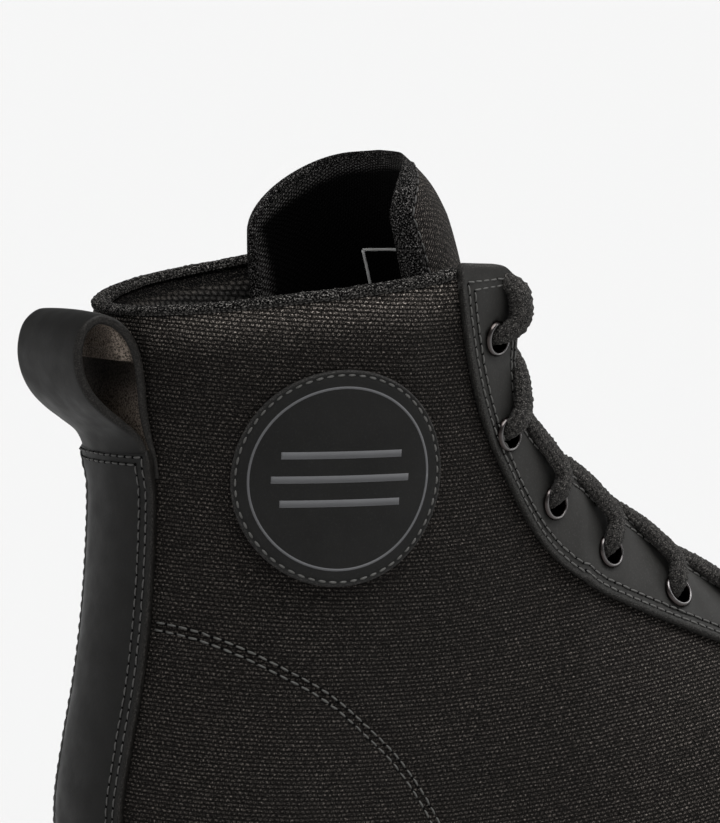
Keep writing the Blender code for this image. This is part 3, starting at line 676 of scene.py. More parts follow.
class Look:
    """A node material, built by small steps that each return a Value."""

    def __init__(self, name, roughness, specular, metallic=0.0):
        self.material = bpy.data.materials.new(name)
        self.material.use_nodes = True
        self.tree = self.material.node_tree
        self.shader = self.tree.nodes["Principled BSDF"].inputs
        self.shader["Roughness"].default_value = roughness
        self.shader["Specular IOR Level"].default_value = specular
        self.shader["Metallic"].default_value = metallic

    def node(self, kind, **settings):
        made = self.tree.nodes.new(kind)
        for key, value in settings.items():
            setattr(made, key, value)
        return made

    def feed(self, socket, value):
        """Give a socket a Value, a number or a colour."""
        if isinstance(value, Value):
            self.tree.links.new(value.socket, socket)
        else:
            socket.default_value = (*value, 1) if isinstance(value, tuple) else value

    def step(self, kind, output=0, settings=(), **inputs):
        """A node with named inputs, an underscore for each space in their names."""
        made = self.node(kind, **dict(settings))
        for name, value in inputs.items():
            self.feed(made.inputs[name.replace("_", " ")], value)
        return Value(self, made.outputs[output])

    def math(self, operation, *values):
        made = self.node("ShaderNodeMath", operation=operation)
        for socket, value in zip(made.inputs, values):
            self.feed(socket, value)
        return Value(self, made.outputs[0])

    def tone(self):
        return self.step("ShaderNodeAttribute", "Fac", {"attribute_name": "tone"})

    def noise(self, size, detail=2.0, roughness=0.5):
        """Noise in object space with features of the given size in mm."""
        return self.step("ShaderNodeTexNoise", "Fac", Scale=1 / (size * MM), Detail=detail,
                         Roughness=roughness, Vector=self.step("ShaderNodeTexCoord", "Object"))

    def span(self, value, low, high, to_low=0.0, to_high=1.0):
        """From low to high mapped to another span, and held there."""
        return self.step("ShaderNodeMapRange", 0, {"clamp": True}, Value=value, From_Min=low,
                         From_Max=high, To_Min=to_low, To_Max=to_high)

    def mix(self, share, a, b):
        """Blend of two colours."""
        made = self.node("ShaderNodeMix", data_type="RGBA")
        for slot, value in ((0, share), (6, a), (7, b)):
            self.feed(made.inputs[slot], value)
        return Value(self, made.outputs[2])

    def bump(self, height, depth, strength=1.0, **under):
        """Bump of the given depth in mm."""
        return self.step("ShaderNodeBump", Strength=strength, Distance=depth * MM, Height=height, **under)

    def weave(self, bead, row, *wander):
        """Places along and across a weave, counted in beads and rows; each row lies half
        a bead along from the last. wander is a noise's size and its reach, for each."""
        split = self.node("ShaderNodeSeparateXYZ")
        cloth = self.step("ShaderNodeAttribute", "Vector", {"attribute_name": "cloth"})
        self.feed(split.inputs[0], cloth)
        u, v = (self.math("MULTIPLY_ADD", self.noise(size), reach, Value(self, place))
                for (size, reach), place in zip(wander, split.outputs))
        rows = v / row
        return u / bead + self.math("FLOOR", rows) * 0.5, rows

    def wave(self, place, kind="SINE"):
        return self.math("ABSOLUTE", self.math(kind, place * pi))

    def finish(self, colour, normal, roughness=None, sheen=0.0):
        self.feed(self.shader["Base Color"], colour)
        self.feed(self.shader["Normal"], normal)
        self.feed(self.shader["Sheen Weight"], sheen)
        if roughness is not None:
            self.feed(self.shader["Roughness"], roughness)
        return self.material


def canvas_look():
    """Heavy plain weave: rows of beads, with a painted highlight on their tops and painted shade in the
    gaps, unevenly bright.
    """
    look = Look("canvas", 0.8, 0.05)
    along_it, rows = look.weave(WEAVE_BEAD, WEAVE_ROW, (4.0, 0.7), (6.0, 0.4))
    thread = look.wave(rows)
    weft = look.wave(along_it) ** 0.75 * thread ** 1.5
    warp = look.wave(along_it, "COSINE") ** 4.0 * (thread * 0.22)
    height = look.math("MAXIMUM", weft, warp)
    relief = look.math("MULTIPLY_ADD", look.noise(0.25), 0.3, height)
    patch = look.span(look.noise(30.0, 3.0, 0.6), 0.3, 0.7)
    pale = look.mix(patch, (0.128, 0.1140, 0.1030), (0.160, 0.1400, 0.1250))
    # tone paints light: it lifts the canvas towards a pale, lit colour.
    pale = look.mix(look.tone(), pale, (0.710, 0.632, 0.566))
    cell = look.step("ShaderNodeCombineXYZ", X=look.math("FLOOR", along_it), Y=look.math("FLOOR", rows))
    chance = look.step("ShaderNodeTexWhiteNoise", "Value", {"noise_dimensions": "2D"}, Vector=cell)
    bright = look.span(chance, 0.0, 1.0, 0.8, 1.2)
    speck = look.span(look.noise(0.26, 1.0), 0.27, 0.75) ** 3.2 * 1.35
    # Painted light and shade: bead tops take the pale colour as a painted highlight, the gaps go near
    # black as painted shade.
    share = look.span(height, 0.1, 1.0, 0.04, 1.05) * speck * bright
    colour = look.mix(share, (0.0036, 0.0032, 0.0029), pale)
    look.shader["Sheen Roughness"].default_value = 0.4
    return look.finish(colour, look.bump(relief, 0.34, 0.9), sheen=0.015)


def leather_look(name, colour, edge, roughness, specular):
    """Smooth matte leather; tone 1 is a bare cut edge."""
    look = Look(name, roughness, specular)
    cloud = look.span(look.noise(14.0, 3.0, 0.6), 0.3, 0.7, 0.86, 1.14)
    fine = look.noise(0.5, 3.0, 0.6)
    mottled = cloud * look.span(fine, 0.3, 0.7, 0.93, 1.07)
    face = look.mix(look.span(mottled, 0.8, 1.2), shade(colour, 0.8), shade(colour, 1.2))
    dust = look.span(look.noise(0.45, 3.0, 0.7), 0.55, 0.72, 0.0, 0.45)
    face = look.mix(dust, face, shade(colour, 2.6))
    fibres = look.span(look.noise(0.34, 2.0, 0.6), 0.3, 0.7) ** 2.0
    cut = look.mix(fibres, shade(edge, 0.35), shade(edge, 2.6))
    normal = look.bump(look.noise(3.5), 0.25, 0.18, Normal=look.bump(fine, 0.05, 0.35))
    rough = look.span(look.noise(6.0, 3.0), 0.3, 0.7, roughness - 0.06, roughness + 0.08)
    return look.finish(look.mix(look.tone(), face, cut), normal, rough)


def knit_look(name, dark, pale, row, stitch, depth, fuzz, edge, clump, full=1.5):
    """Soft black knit: chains of loops blurred by fuzz, brightest where the relief is full (a painted
    highlight, with painted shade between); at tone 1 a pile of tufts of colour edge, as wide as clump."""
    look = Look(name, 0.95, 0.03)
    along_it, rows = look.weave(stitch, row, (2.6, 1.1), (1.9, 0.8))
    loops = look.wave(along_it) * look.wave(rows)
    loops = look.math("MULTIPLY_ADD", look.noise(0.35, 3.0, 0.7), fuzz, loops)
    pile = look.span(look.noise(clump, 3.0, 0.65), 0.36, 0.64) * 1.2
    tone = look.tone()
    relief = loops * look.math("SUBTRACT", 1.0, tone) + pile * tone
    # Painted light and shade: the relief's tops take the pale colour, its hollows stay dark.
    colour = look.mix(look.span(relief, 0.3, full) ** 3.2, dark, look.mix(tone, pale, edge))
    return look.finish(colour, look.bump(relief, depth, 0.9), sheen=0.01)


def plain_look(name, colour, spread, roughness, specular, size=0.6, depth=0.05):
    """Even material with a little variation in colour and surface."""
    look = Look(name, roughness, specular)
    grain = look.noise(size, 3.0, 0.6)
    share = look.span(look.noise(9.0, 3.0), 0.3, 0.7)
    tint = look.mix(share, shade(colour, 1 - spread), shade(colour, 1 + spread))
    rough = look.span(grain, 0.3, 0.7, roughness - 0.05, roughness + 0.05)
    return look.finish(tint, look.bump(grain, depth, 0.5), rough)


def suede_look():
    """Brown flesh side of leather; tone 1 paints it darker, as the shade that falls below the strap's
    fold.
    """
    look = Look("suede", 0.95, 0.03)
    nap = look.noise(0.42, 4.0, 0.7)
    colour = look.mix(look.tone(), (0.270, 0.224, 0.187), (0.030, 0.0258, 0.0225))
    colour = look.mix(look.span(nap, 0.60, 0.40, 0.0, 0.88), colour, (0.004, 0.0035, 0.003))
    return look.finish(colour, look.bump(nap, 0.4, 0.9))


def metal_look():
    """Dark plated metal, with a painted highlight at tone 1."""
    look = Look("gunmetal", 0.24, 0.5, 1.0)
    grain = look.noise(1.5, 3.0, 0.6)
    colour = look.mix(look.tone(), (0.040, 0.033, 0.031), (0.17, 0.165, 0.165))
    return look.finish(colour, look.bump(grain, 0.01, 0.5), look.span(grain, 0.3, 0.7, 0.18, 0.30))


def cord_look():
    """Fuzzy black braid: painted highlight where tone says that it swells, painted shade in its grooves.
    """
    look = Look("lace_cord", 0.93, 0.12)
    fluff = look.noise(0.32, 2.0, 0.6)
    # tone is the braid's swell: painted highlight on its ridges, painted shade in its grooves.
    share = look.tone() * look.span(fluff, 0.36, 0.64, 0.1, 1.9)
    speck = look.span(look.noise(0.36, 2.0, 0.6), 0.55, 0.68)
    colour = look.mix(share, (0.0016, 0.0015, 0.0015), (0.040, 0.0380, 0.0355))
    colour = look.mix(speck, colour, (0.135, 0.1280, 0.1200))
    return look.finish(colour, look.bump(fluff, 0.45), sheen=0.03)


INK = (0.0008, 0.0008, 0.0008)

canvas = canvas_look()
leather = leather_look("leather", (0.0215, 0.0210, 0.0198), (0.029, 0.028, 0.0262), 0.56, 0.16)
strap_leather = leather_look("strap_leather", (0.0066, 0.0065, 0.0061),
                             (0.0115, 0.0106, 0.0096), 0.52, 0.15)
badge_leather = leather_look("badge_leather", (0.0090, 0.0090, 0.0086),
                             (0.022, 0.021, 0.020), 0.62, 0.13)
suede = suede_look()
knit = knit_look("lining_knit", INK, (0.105, 0.1000, 0.0950), 1.3, 2.0, 0.9, 2.2,
                 (0.75, 0.67, 0.60), 0.40, 2.3)
soft_knit = knit_look("tongue_knit", shade(INK, 0.25), (0.0030, 0.0028, 0.0029), 0.8, 1.1, 0.4, 1.3,
                      (0.60, 0.575, 0.56), 0.34)
roll_knit = knit_look("binding_knit", INK, (0.0040, 0.0038, 0.0036), 0.9, 1.1, 0.7, 1.3,
                      (0.80, 0.760, 0.720), 0.40)
thread = plain_look("thread", (0.055, 0.054, 0.050), 0.15, 0.6, 0.6, 0.25)
dark_thread = plain_look("dark_thread", (0.034, 0.033, 0.031), 0.15, 0.6, 0.6, 0.25)
# Painted shade: near-black marks between stitches stand for the shade inside the needle holes.
painted_hole_shade = plain_look("painted_needle_shade", (0.002, 0.002, 0.002), 0.1, 0.9, 0.05)
gunmetal = metal_look()
rubber = plain_look("sole_rubber", (0.010, 0.010, 0.010), 0.12, 0.62, 0.3, 0.9, 0.08)
print_grey = plain_look("print_grey", (0.095, 0.096, 0.100), 0.06, 0.7, 0.2, 0.4, 0.02)
label_white = plain_look("label_white", (0.62, 0.62, 0.61), 0.05, 0.8, 0.2, 0.5)
cord_black = cord_look()


# --- Canvas upper and lining -------------------------------------------------
# The seam of the heel counter on each side.
ARC = Table("x z",
            (9.0, 93.6), (18, 91.3), (26.4, 87.6), (35.1, 82.8), (44.9, 77.0), (55.7, 68.4),
            (65.1, 59.4), (73.7, 47.0), (81, 32.0))


def arc_line(side, offset):
    """The heel counter's seam on the form; offset moves it down and back."""
    x = np.linspace(12.5, 78.5, 160)
    z = ARC.z(x)
    slope = np.gradient(z, x)
    square = np.stack([slope, -np.ones_like(slope)], -1) / np.sqrt(1 + slope ** 2)[:, None]
    return side_point(x + square[:, 0] * offset, z + square[:, 1] * offset, side)


# Soft creases: middle x and z, angle of its line in degrees, half its length, half its
# width, depth.
CREASES = ((100, 96, 30, 24, 7.0, 0.30),
           (86, 76, 20, 32, 9.0, 0.28),
           (72, 106, 40, 22, 8.0, 0.22),
           (124, 74, 12, 26, 8.0, 0.26),
           (38, 62, -38, 22, 7.0, 0.18),
           (214, 50, 78, 26, 5.0, 0.8),
           (226, 48, 82, 24, 4.5, 0.7),
           (150, 52, 8, 32, 9.0, 0.30))


def relief(p):
    """How far the canvas swells or sinks from the form, mm."""
    x, y, z = p[..., 0], p[..., 1], p[..., 2]
    below = COLLAR.z(x) - z
    swell = COLLAR_SWELL * ease(0.0, 7.0, below) * (1 - ease(8.0, 30.0, below))
    swell *= ease(16, 26, np.abs(y)) * (1 - ease(60, 70, x))
    sink = np.zeros_like(x)
    for middle_x, middle_z, angle, half, width, depth in CREASES:
        a = radians(angle)
        down_it = (x - middle_x) * cos(a) + (z - middle_z) * sin(a)
        off = (z - middle_z) * cos(a) - (x - middle_x) * sin(a)
        trough = hump(off, width) - 0.35 * hump(off - 1.9 * width, width)
        sink += depth * np.exp(-(down_it / half) ** 2 * 1.5) * trough
    seam_x = np.clip(x, 9.0, 81.0)
    slope = ARC.z(seam_x + 0.5) - ARC.z(seam_x - 0.5)
    off = (z - ARC.z(seam_x)) / np.sqrt(1 + slope ** 2)
    seam = 0.25 * hump(off - 3.5, 2.5) - COUNTER_GROOVE * hump(off + SEAM_GAP / 2, 1.5)
    return swell - sink * 0.8 + seam * (1 - ease(76, 84, x)) * ease(8, 12, x)


def upper_rings(columns, low_step, high_step):
    """(closed rings, open rings) of the upper's form, each an array of points."""
    shares = np.interp(np.arange(0, len(CLOSED_RINGS) - 1 + low_step / 2, low_step),
                       np.arange(len(CLOSED_RINGS)), CLOSED_RINGS)
    shares[-1] = 1.0
    closed = np.array([np.concatenate(closed_ring(share, columns)) for share in shares])
    opened = np.array([np.concatenate(open_ring(row, columns)) for row in fine_rows(THROAT, high_step)])
    return closed, opened


CLOTH_LOW, CLOTH_HIGH = 10.0, 180.0     # heights covered by the cloth's tables
CLOTH_REACH = 305.0     # and distance from the heel
VAMP_X, VAMP_LOW = 150.0, 5.0           # the vamp's tables start at this x and end at this height
VAMP_COUNT = 400        # rows in them
VAMP_JOIN = 200.0       # where the two ways of laying the cloth agree


def cloth_tables():
    """Arc lengths on the form: round it at each height, and up it at each distance
    from the heel."""
    heights = np.arange(CLOTH_LOW, CLOTH_HIGH)[:, None]
    end = halve(np.full_like(heights, 60.0), np.full_like(heights, 320.0),
                lambda x: closure(x, heights) < 1)
    start = SHAFT.back(heights)
    x = start + (end - start) * (1 - np.cos(pi * np.linspace(0, 1, 241)[None])) / 2
    round_it = run_length(np.stack([x, half_width(x, heights, -1)], -1))
    across = np.arange(0.0, CLOTH_REACH)[:, None]
    y = half_width(across, np.arange(CLOTH_LOW, CLOTH_HIGH, 0.5)[None], -1)
    grown = np.sqrt(ease(45, 75, across) * np.diff(y, axis=1) ** 2 + 0.25)
    up_it = CLOTH_LOW + np.concatenate([np.zeros_like(across), np.cumsum(grown, axis=1)], 1)
    return start[:, 0], end[:, 0], round_it, up_it


def between(table, row, column):
    """Value between the entries of a table at fractional rows and columns."""
    row = np.clip(row, 0, table.shape[0] - 1.001)
    column = np.clip(column, 0, table.shape[1] - 1.001)
    i, j = row.astype(int), column.astype(int)
    r, c = row - i, column - j
    return ((table[i, j] * (1 - c) + table[i, j + 1] * c) * (1 - r)
            + (table[i + 1, j] * (1 - c) + table[i + 1, j + 1] * c) * r)


def vamp_step(x):
    """Row of the vamp's tables at x; the rows crowd towards the toe's tip."""
    return (VAMP_COUNT - 1) * (1 - np.sqrt(np.clip((TOE_END - x) / (TOE_END - VAMP_X), 0, 1)))


def vamp_tables():
    """The ridge's height and arc length, and arc lengths down from it, at each x."""
    x = TOE_END - (TOE_END - VAMP_X) * (1 - np.linspace(0, 1, VAMP_COUNT)[:, None]) ** 2
    top = halve(np.full_like(x, VAMP_LOW), np.full_like(x, 180.0), lambda z: closure(x, z) < 1)
    z = top - (top - VAMP_LOW) * np.linspace(0, 1, 201)[None] ** 2
    down = run_length(np.stack([half_width(x, z, -1), z], -1))
    return top[:, 0], run_length(np.stack([x, top], -1)[:, 0]), down


CLOTH_START, CLOTH_END, ROUND_IT, UP_IT = cloth_tables()
VAMP_RIDGE, VAMP_ALONG, VAMP_DOWN = vamp_tables()


def side_cloth(p):
    """Position on the cloth of the sides; its rows bow down in the middle."""
    x, z = p[..., 0], p[..., 2]
    row = z - CLOTH_LOW
    start = np.interp(row, np.arange(len(CLOTH_START)), CLOTH_START)
    end = np.interp(row, np.arange(len(CLOTH_END)), CLOTH_END)
    share = np.clip((x - start) / (end - start), 0, 1)
    u = between(ROUND_IT, row, np.arccos(1 - 2 * share) / pi * (ROUND_IT.shape[1] - 1))
    v = between(UP_IT, x, row * 2)
    return u, v - np.clip(x - 65.0, -65, 120) ** 2 / 800


def cloth_of(p):
    """Position on the flat cloth of points on the form, the same on both sides of the
    ridge; over the vamp the rows run along it, with one row on the ridge itself."""
    x, z = p[..., 0], p[..., 2]
    u, v = side_cloth(p)
    rows = np.arange(VAMP_COUNT)
    join, step = vamp_step(VAMP_JOIN), vamp_step(x)
    ridge_v = side_cloth(np.array([VAMP_JOIN, 0.0, np.interp(join, rows, VAMP_RIDGE)]))[1]
    ridge_v = (np.round(ridge_v / WEAVE_ROW) + 0.5) * WEAVE_ROW
    ridge = np.interp(step, rows, VAMP_RIDGE)
    forward = np.interp(step, rows, VAMP_ALONG) - np.interp(join, rows, VAMP_ALONG)
    forward = forward + side_cloth(np.array([VAMP_JOIN, 0.0, 50.0]))[0]
    fall = np.sqrt(np.clip((ridge - z) / np.maximum(ridge - VAMP_LOW, 0.01), 0, 1))
    down = between(VAMP_DOWN, step, fall * (VAMP_DOWN.shape[1] - 1))
    share = ease(182, 214, x)
    return np.stack([u * (1 - share) + forward * share, v * (1 - share) + (ridge_v - down) * share], -1)


def collar_gap(p):
    """Height of the collar's edge over points."""
    return COLLAR.z(p[..., 0]) - p[..., 2]


def painted_canvas_light(p):
    """Painted light: the canvas is drawn lighter on the puffed cloth under the collar, where it faces
    the top light, and towards the front, where it faces the front light.
    """
    return 0.8 * (1 - ease(1.0, 13.0, collar_gap(p))) + 0.14 * ease(95, 150, p[..., 0])


def canvas_faces(p):
    """Heights of the canvas's two faces above the form."""
    return relief(p), np.full(p.shape[:-1], -CANVAS)


def lining_tone(p):
    """Tufts show only along the collar's edge."""
    return 1 - ease(3.2, 5.6, collar_gap(p))


def lining_faces(p):
    """Heights of the lining's two faces; the padded collar bulges inwards."""
    below = collar_gap(p)
    bulge = ease(0.0, 8.0, below) * (1 - ease(14.0, 42.0, below)) * ease(0.0, 14.0, 82 - p[..., 0])
    return np.full(bulge.shape, -LINING_FACE), -WALL - bulge * LINING_PAD


def make_layer(name, look, columns, steps, faces, tone):
    """One layer of the upper's wall, open at the throat, collar and sole."""
    closed, opened = upper_rings(columns, *steps)
    rings = np.concatenate([closed, opened])
    cloth, normals, many = cloth_of(rings), outward(rings), len(closed)
    piece = Piece()
    skins = []
    for height in faces(rings):
        index = piece.add(rings + normals * height[..., None], cloth, tone(rings))
        index[:many, -1] = index[:many, 0]
        piece.skin(index)
        skins.append(index)
    out, into = skins
    for part in (np.s_[-1], np.s_[0], np.s_[many:, 0], np.s_[many:, -1]):
        piece.quads(out[part], into[part])
    piece.quads(*(np.array([skin[many, -1], skin[many - 1, 0], skin[many, 0]]) for skin in skins))
    return piece.make(name, look)


upper = make_layer("upper_canvas", canvas, UPPER_COLUMNS, UPPER_STEPS, canvas_faces, painted_canvas_light)
lining = make_layer("upper_lining", knit, LINING_COLUMNS, LINING_STEPS, lining_faces, lining_tone)


# --- Stitching ---------------------------------------------------------------
# Places along a stitch, and its girth there.
STITCH_PROFILE = ((-0.5, 0.35), (-0.4, 0.8), (-0.15, 1.0), (0.15, 1.0), (0.4, 0.8), (0.5, 0.35))


def stitch_unit():
    """One stitch along +X, 1 long, 1 wide and 1 high: a bowed, round-ended bar."""
    (place_on, girth), angle = np.array(STITCH_PROFILE).T[..., None], turns(STITCH_SIDES)
    return np.stack(np.broadcast_arrays(place_on, 0.5 * girth * np.cos(angle),
                                        0.5 * girth * np.sin(angle) + 0.5 - 2.0 * place_on ** 2), -1)


STITCH = stitch_unit()
# Rings of a near-black mark, painted shade of a needle hole: share of its size, and height.
NEEDLE_SHADE_RINGS = ((1.0, -0.12), (1.0, 0.02), (0.5, 0.05))


class Seam:
    """Many stitches, and near-black marks between them, painted shade of the needle holes, as two meshes.
    """

    def __init__(self, name):
        self.name, self.thread, self.holes = name, Piece(), Piece()

    def sew(self, line, normals, pitch, length, width=0.47, height=0.40, lift=0.0):
        """Stitch along a line of points; lift raises the thread off the surface."""
        run = run_length(line)
        count = max(1, int(round(run[-1] / pitch)))
        middles = (np.arange(count) + 0.5) * run[-1] / count
        at, up = along(middles, run, line), along(middles, run, normals)
        ahead = unit(along(middles + 0.3, run, line) - along(middles - 0.3, run, line))
        up = unit(up - (up * ahead).sum(1, keepdims=True) * ahead)
        across = np.cross(up, ahead)
        size = rng.uniform(0.93, 1.07, (count, 3)) * (length, width, height)
        turn = rng.normal(0, 0.05, count)[:, None]
        ahead, across = ahead + across * turn, across - ahead * turn
        ends = at + ahead * (run[-1] / count / 2)
        angle = turns(NEEDLE_SIDES)[:, None]
        for k in range(count):
            x, y, z = np.moveaxis(STITCH * size[k], -1, 0)[..., None]
            self.thread.tube(at[k] + x * ahead[k] + y * across[k] + (z + lift) * up[k])
        for k in range(count):
            ring = np.cos(angle) * ahead[k] * 0.42 + np.sin(angle) * across[k] * 0.34
            self.holes.tube([ends[k] + ring * share + up[k] * (lift + rise)
                             for share, rise in NEEDLE_SHADE_RINGS])

    def make(self, look, slot):
        for piece in (self.thread.make(self.name, look),
                      self.holes.make(self.name + "_hole_shade", painted_hole_shade)):
            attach(piece, "root")


# --- Facing ------------------------------------------------------------------
class Facing:
    """The leather strip round the throat, as a sheet with two coordinates in mm: run,
    from the lateral top round to the medial top, and across, from its front edge."""

    def __init__(self):
        foot_z = RIDGE.z(np.array([THROAT_FOOT, FACING_FOOT]))
        foot = (THROAT_FOOT, 0, foot_z[0], FACING_FOOT, 0, foot_z[1])
        lateral, medial = THROAT[::-1, 1:] * (1, -1, 1, 1, -1, 1), THROAT[:, 1:]
        edges = np.concatenate([lateral, [foot], medial])
        columns = fine_rows(edges, (len(edges) - 1) / (FINE_STEPS - 1))
        columns[:, 3:] = self.smoothed(columns[:, 3:])
        ends = []
        for last, before in ((columns[0], columns[END_ROWS]), (columns[-1], columns[-1 - END_ROWS])):
            ends.append(last + (last - before) / np.linalg.norm((last - before)[:3]) * END_RISE)
        self.columns = np.concatenate([ends[:1], columns, ends[1:]])
        self.run = run_length((self.columns[:, :3] + self.columns[:, 3:]) / 2) - END_RISE
        self.length = self.run[-1] - END_RISE

    def smoothed(self, rows):
        """Rows averaged with their neighbours, and mirrored past both ends."""
        reach = REAR_SMOOTHING // 2
        kernel = np.hanning(REAR_SMOOTHING)
        before, after = 2 * rows[0] - rows[reach:0:-1], 2 * rows[-1] - rows[-2:-reach - 2:-1]
        padded = np.concatenate([before, rows, after])
        return np.stack([np.convolve(column, kernel / kernel.sum(), "valid") for column in padded.T], -1)

    def ends(self, run):
        """Points on the front and rear edges."""
        found = along(run, self.run, self.columns)
        return found[..., :3], found[..., 3:]

    def width(self, run):
        edge, lap = self.ends(run)
        return np.linalg.norm(lap - edge, axis=-1)

    def points(self, run, across):
        """Points on the form."""
        edge, lap = self.ends(run)
        found = edge + (lap - edge) * (across / self.width(run))[..., None]
        found[..., 1] += FOOT.axis(found[..., 0])
        return settle(found)

    def grid(self):
        """(run, across, distance to the nearest cut edge) over the whole strip."""
        rows, columns = FACING_MESH
        run = border(rows, self.length, CUT_STEPS) * self.length
        width = self.width(run)
        across = np.array([border(columns, w, CUT_STEPS) * w for w in width])
        run, width = run[:, None], width[:, None]
        drop = rounded(across, FRONT_CORNER) + rounded(width - across, REAR_CORNER)
        end = np.minimum(run, self.length - run)
        squeeze = np.clip(1 - end / END_BLEND, 0, 1)
        sign = np.where(run < self.length / 2, 1, -1)
        near = np.minimum(np.minimum(across, width - across), end + drop * squeeze)
        return run + sign * (drop - END_RISE) * squeeze, across, near

    def seams(self):
        """Two lines of stitches all round, following the rounded corners."""
        quarter = np.linspace(0, pi / 2, 12)
        for inset in (SEAM_INSET, SEAM_INSET + SEAM_GAP):
            front, rear = FRONT_CORNER - inset, max(0.4, REAR_CORNER - inset)
            inner = self.width(inset) - 2 * inset
            top = np.concatenate([
                np.stack([rear * (1 - np.sin(quarter)), inner - rear * (1 - np.cos(quarter))], -1),
                np.stack([front * (1 - np.cos(quarter)), front * (1 - np.sin(quarter))], -1)]) + inset
            foot = top[::-1] * (-1, 1) + (self.length, 0)
            front_run = np.linspace(inset + front, self.length - inset - front, 500)
            rear_run = np.linspace(self.length - inset - rear, inset + rear, 500)
            path = np.concatenate([top, np.stack([front_run, np.full_like(front_run, inset)], -1), foot,
                                   np.stack([rear_run, self.width(rear_run) - inset], -1)])
            yield resample(self.points(path[:, 0], path[:, 1]), SEAM_STEP)


eyelet_list = eyelet_places()
strip = Facing()


def make_facing():
    """Leather that draws down slightly at its seams and round each eyelet."""
    run, across, near = strip.grid()
    rows = strip.points(run, across)
    normals = outward(rows)
    groove = SEAM_GROOVE * hump(near - SEAM_INSET - 0.9, 1.0)
    top = FACING_GAP + LEATHER - rounded(near, EDGE_ROUND) - groove
    for _, _, p, _ in eyelet_list:
        top -= DIMPLE * hump(np.linalg.norm(rows - p, axis=-1) - 3.6, 1.8)
    return shell("eyestay_leather", (leather,), rows + normals * top[..., None],
                 rows + normals * FACING_UNDER, np.stack([run, across], -1), 1 - ease(0.15, 1.0, near))


def punch(*targets):
    """Cut the eyelet holes."""
    bm = bmesh.new()
    for _, _, p, normal in eyelet_list:
        ring = p + circle(normal, HOLE_SIDES) * HOLE_CUT
        add_prism(bm, ring - normal * HOLE_REACH, ring + normal * HOLE_REACH)
    cut_with(bm, *targets)


facing = make_facing()
punch(facing, upper, lining)


# --- Eyelets -----------------------------------------------------------------
# Radius and height of the metal ring's section, and how bright a painted highlight makes it there.
EYELET_PROFILE = np.array((
    (3.0, -3.4, 0.0), (3.0, 2.3, 0.0), (3.06, 2.8, 0.0), (3.18, 3.08, 0.35), (3.4, 3.2, 1.0),
    (3.62, 3.12, 0.5), (3.86, 2.88, 0.1), (4.02, 2.6, 0.0), (4.05, 2.35, 0.0), (3.4, 2.3, 0.0),
    (3.2, -3.4, 0.0)))


def make_rings():
    """Rolled metal eyelets: a domed flange and a barrel through the wall."""
    piece = Piece()
    for _, _, p, normal in eyelet_list:
        ring = circle(normal, EYELET_SIDES)
        rows = [p + ring * radius + normal * height for radius, height, _ in EYELET_PROFILE]
        # The tone column paints a highlight along the flange's crest.
        index = piece.add(rows, tone=EYELET_PROFILE[:, 2:])
        piece.skin(np.concatenate([index, index[:1]]), wrap=True)
    return piece.make("eyelet_rings", gunmetal, smooth_angle=50)


rings = make_rings()


# --- Seams of the facing and the heel counter --------------------------------
seam = Seam("eyestay_stitches")
for line in strip.seams():
    seam.sew(*on_form(line, FACING_GAP + LEATHER - 0.06), 2.45, 2.15)
seam.make(thread, "leather")

counter_seam = Seam("counter_stitches")
for side in (-1, 1):
    for offset in (0.0, SEAM_GAP):
        line = arc_line(side, offset)
        counter_seam.sew(*on_form(line, relief(line) + 0.02), 2.75, 2.05, 0.5, 0.42)
counter_seam.make(thread, "canvas")


# --- Collar binding ----------------------------------------------------------
def make_tube(name, look, at, middle, out, up, half, girth, end, turn, tone):
    """Tube with an oval section along a line. half: half its width and thickness, for
    the whole or each ring. girth: what its section is multiplied by. end: length of its
    round ends. turn: mm of cloth to a radian round it."""
    angle = turns(girth.shape[1])
    near = np.clip(1 - np.minimum(at, at[-1] - at) / end, 0, 1)
    girth = girth * np.sqrt(np.clip(1 - near ** 2, 0.05, 1))[:, None]
    half = np.broadcast_to(half, (len(at), 2))
    rows = (middle[:, None] + out[:, None] * (np.cos(angle) * girth * half[:, :1])[..., None]
            + up[:, None] * (np.sin(angle) * girth * half[:, 1:])[..., None])
    piece = Piece()
    piece.tube(rows, np.stack(np.broadcast_arrays(at[:, None], angle * turn), -1), tone)
    return piece.make(name, look)


BINDING_HALF = (2.2, 1.5)       # half its width and thickness


def make_binding():
    """Knit roll sewn over the collar's edge, from facing to facing."""
    ring = np.concatenate(open_ring(THROAT[-1], 120))
    ring = ring[ring[:, 0] < THROAT[-1][4] + 1.5]
    out = outward(ring)
    up = np.cross(np.gradient(ring, axis=0), out)
    up = unit(up * np.sign(up[:, 2:]))
    centre = ring - out * 1.5 - up * 0.35
    run = run_length(centre)
    at = np.linspace(0, run[-1], int(run[-1] / BINDING_STEP))
    middle, out, up = (along(at, run, rows) for rows in (centre, out, up))
    girth = 1 + 0.045 * rng.normal(0, 1, (len(at), BINDING_SIDES))
    # The tone paints light and shade on the roll: pale tufts along its top, dark loops along its
    # underside.
    return make_tube("collar_binding", roll_knit, at, middle, out, up, BINDING_HALF, girth, 1.2,
                     sum(BINDING_HALF) / 2, ease(-0.75, 0.35, np.sin(turns(BINDING_SIDES))))


binding = make_binding()


# --- Tongue ------------------------------------------------------------------
def tongue_frame(s):
    """Ridge point, and the direction from it into the shoe, at a station."""
    tilt = np.radians(TONGUE_SECTIONS.tilt(s))
    return (np.stack([TONGUE_SECTIONS.x(s), TONGUE_SECTIONS.z(s)], -1),
            np.stack([-np.cos(tilt), -np.sin(tilt)], -1))


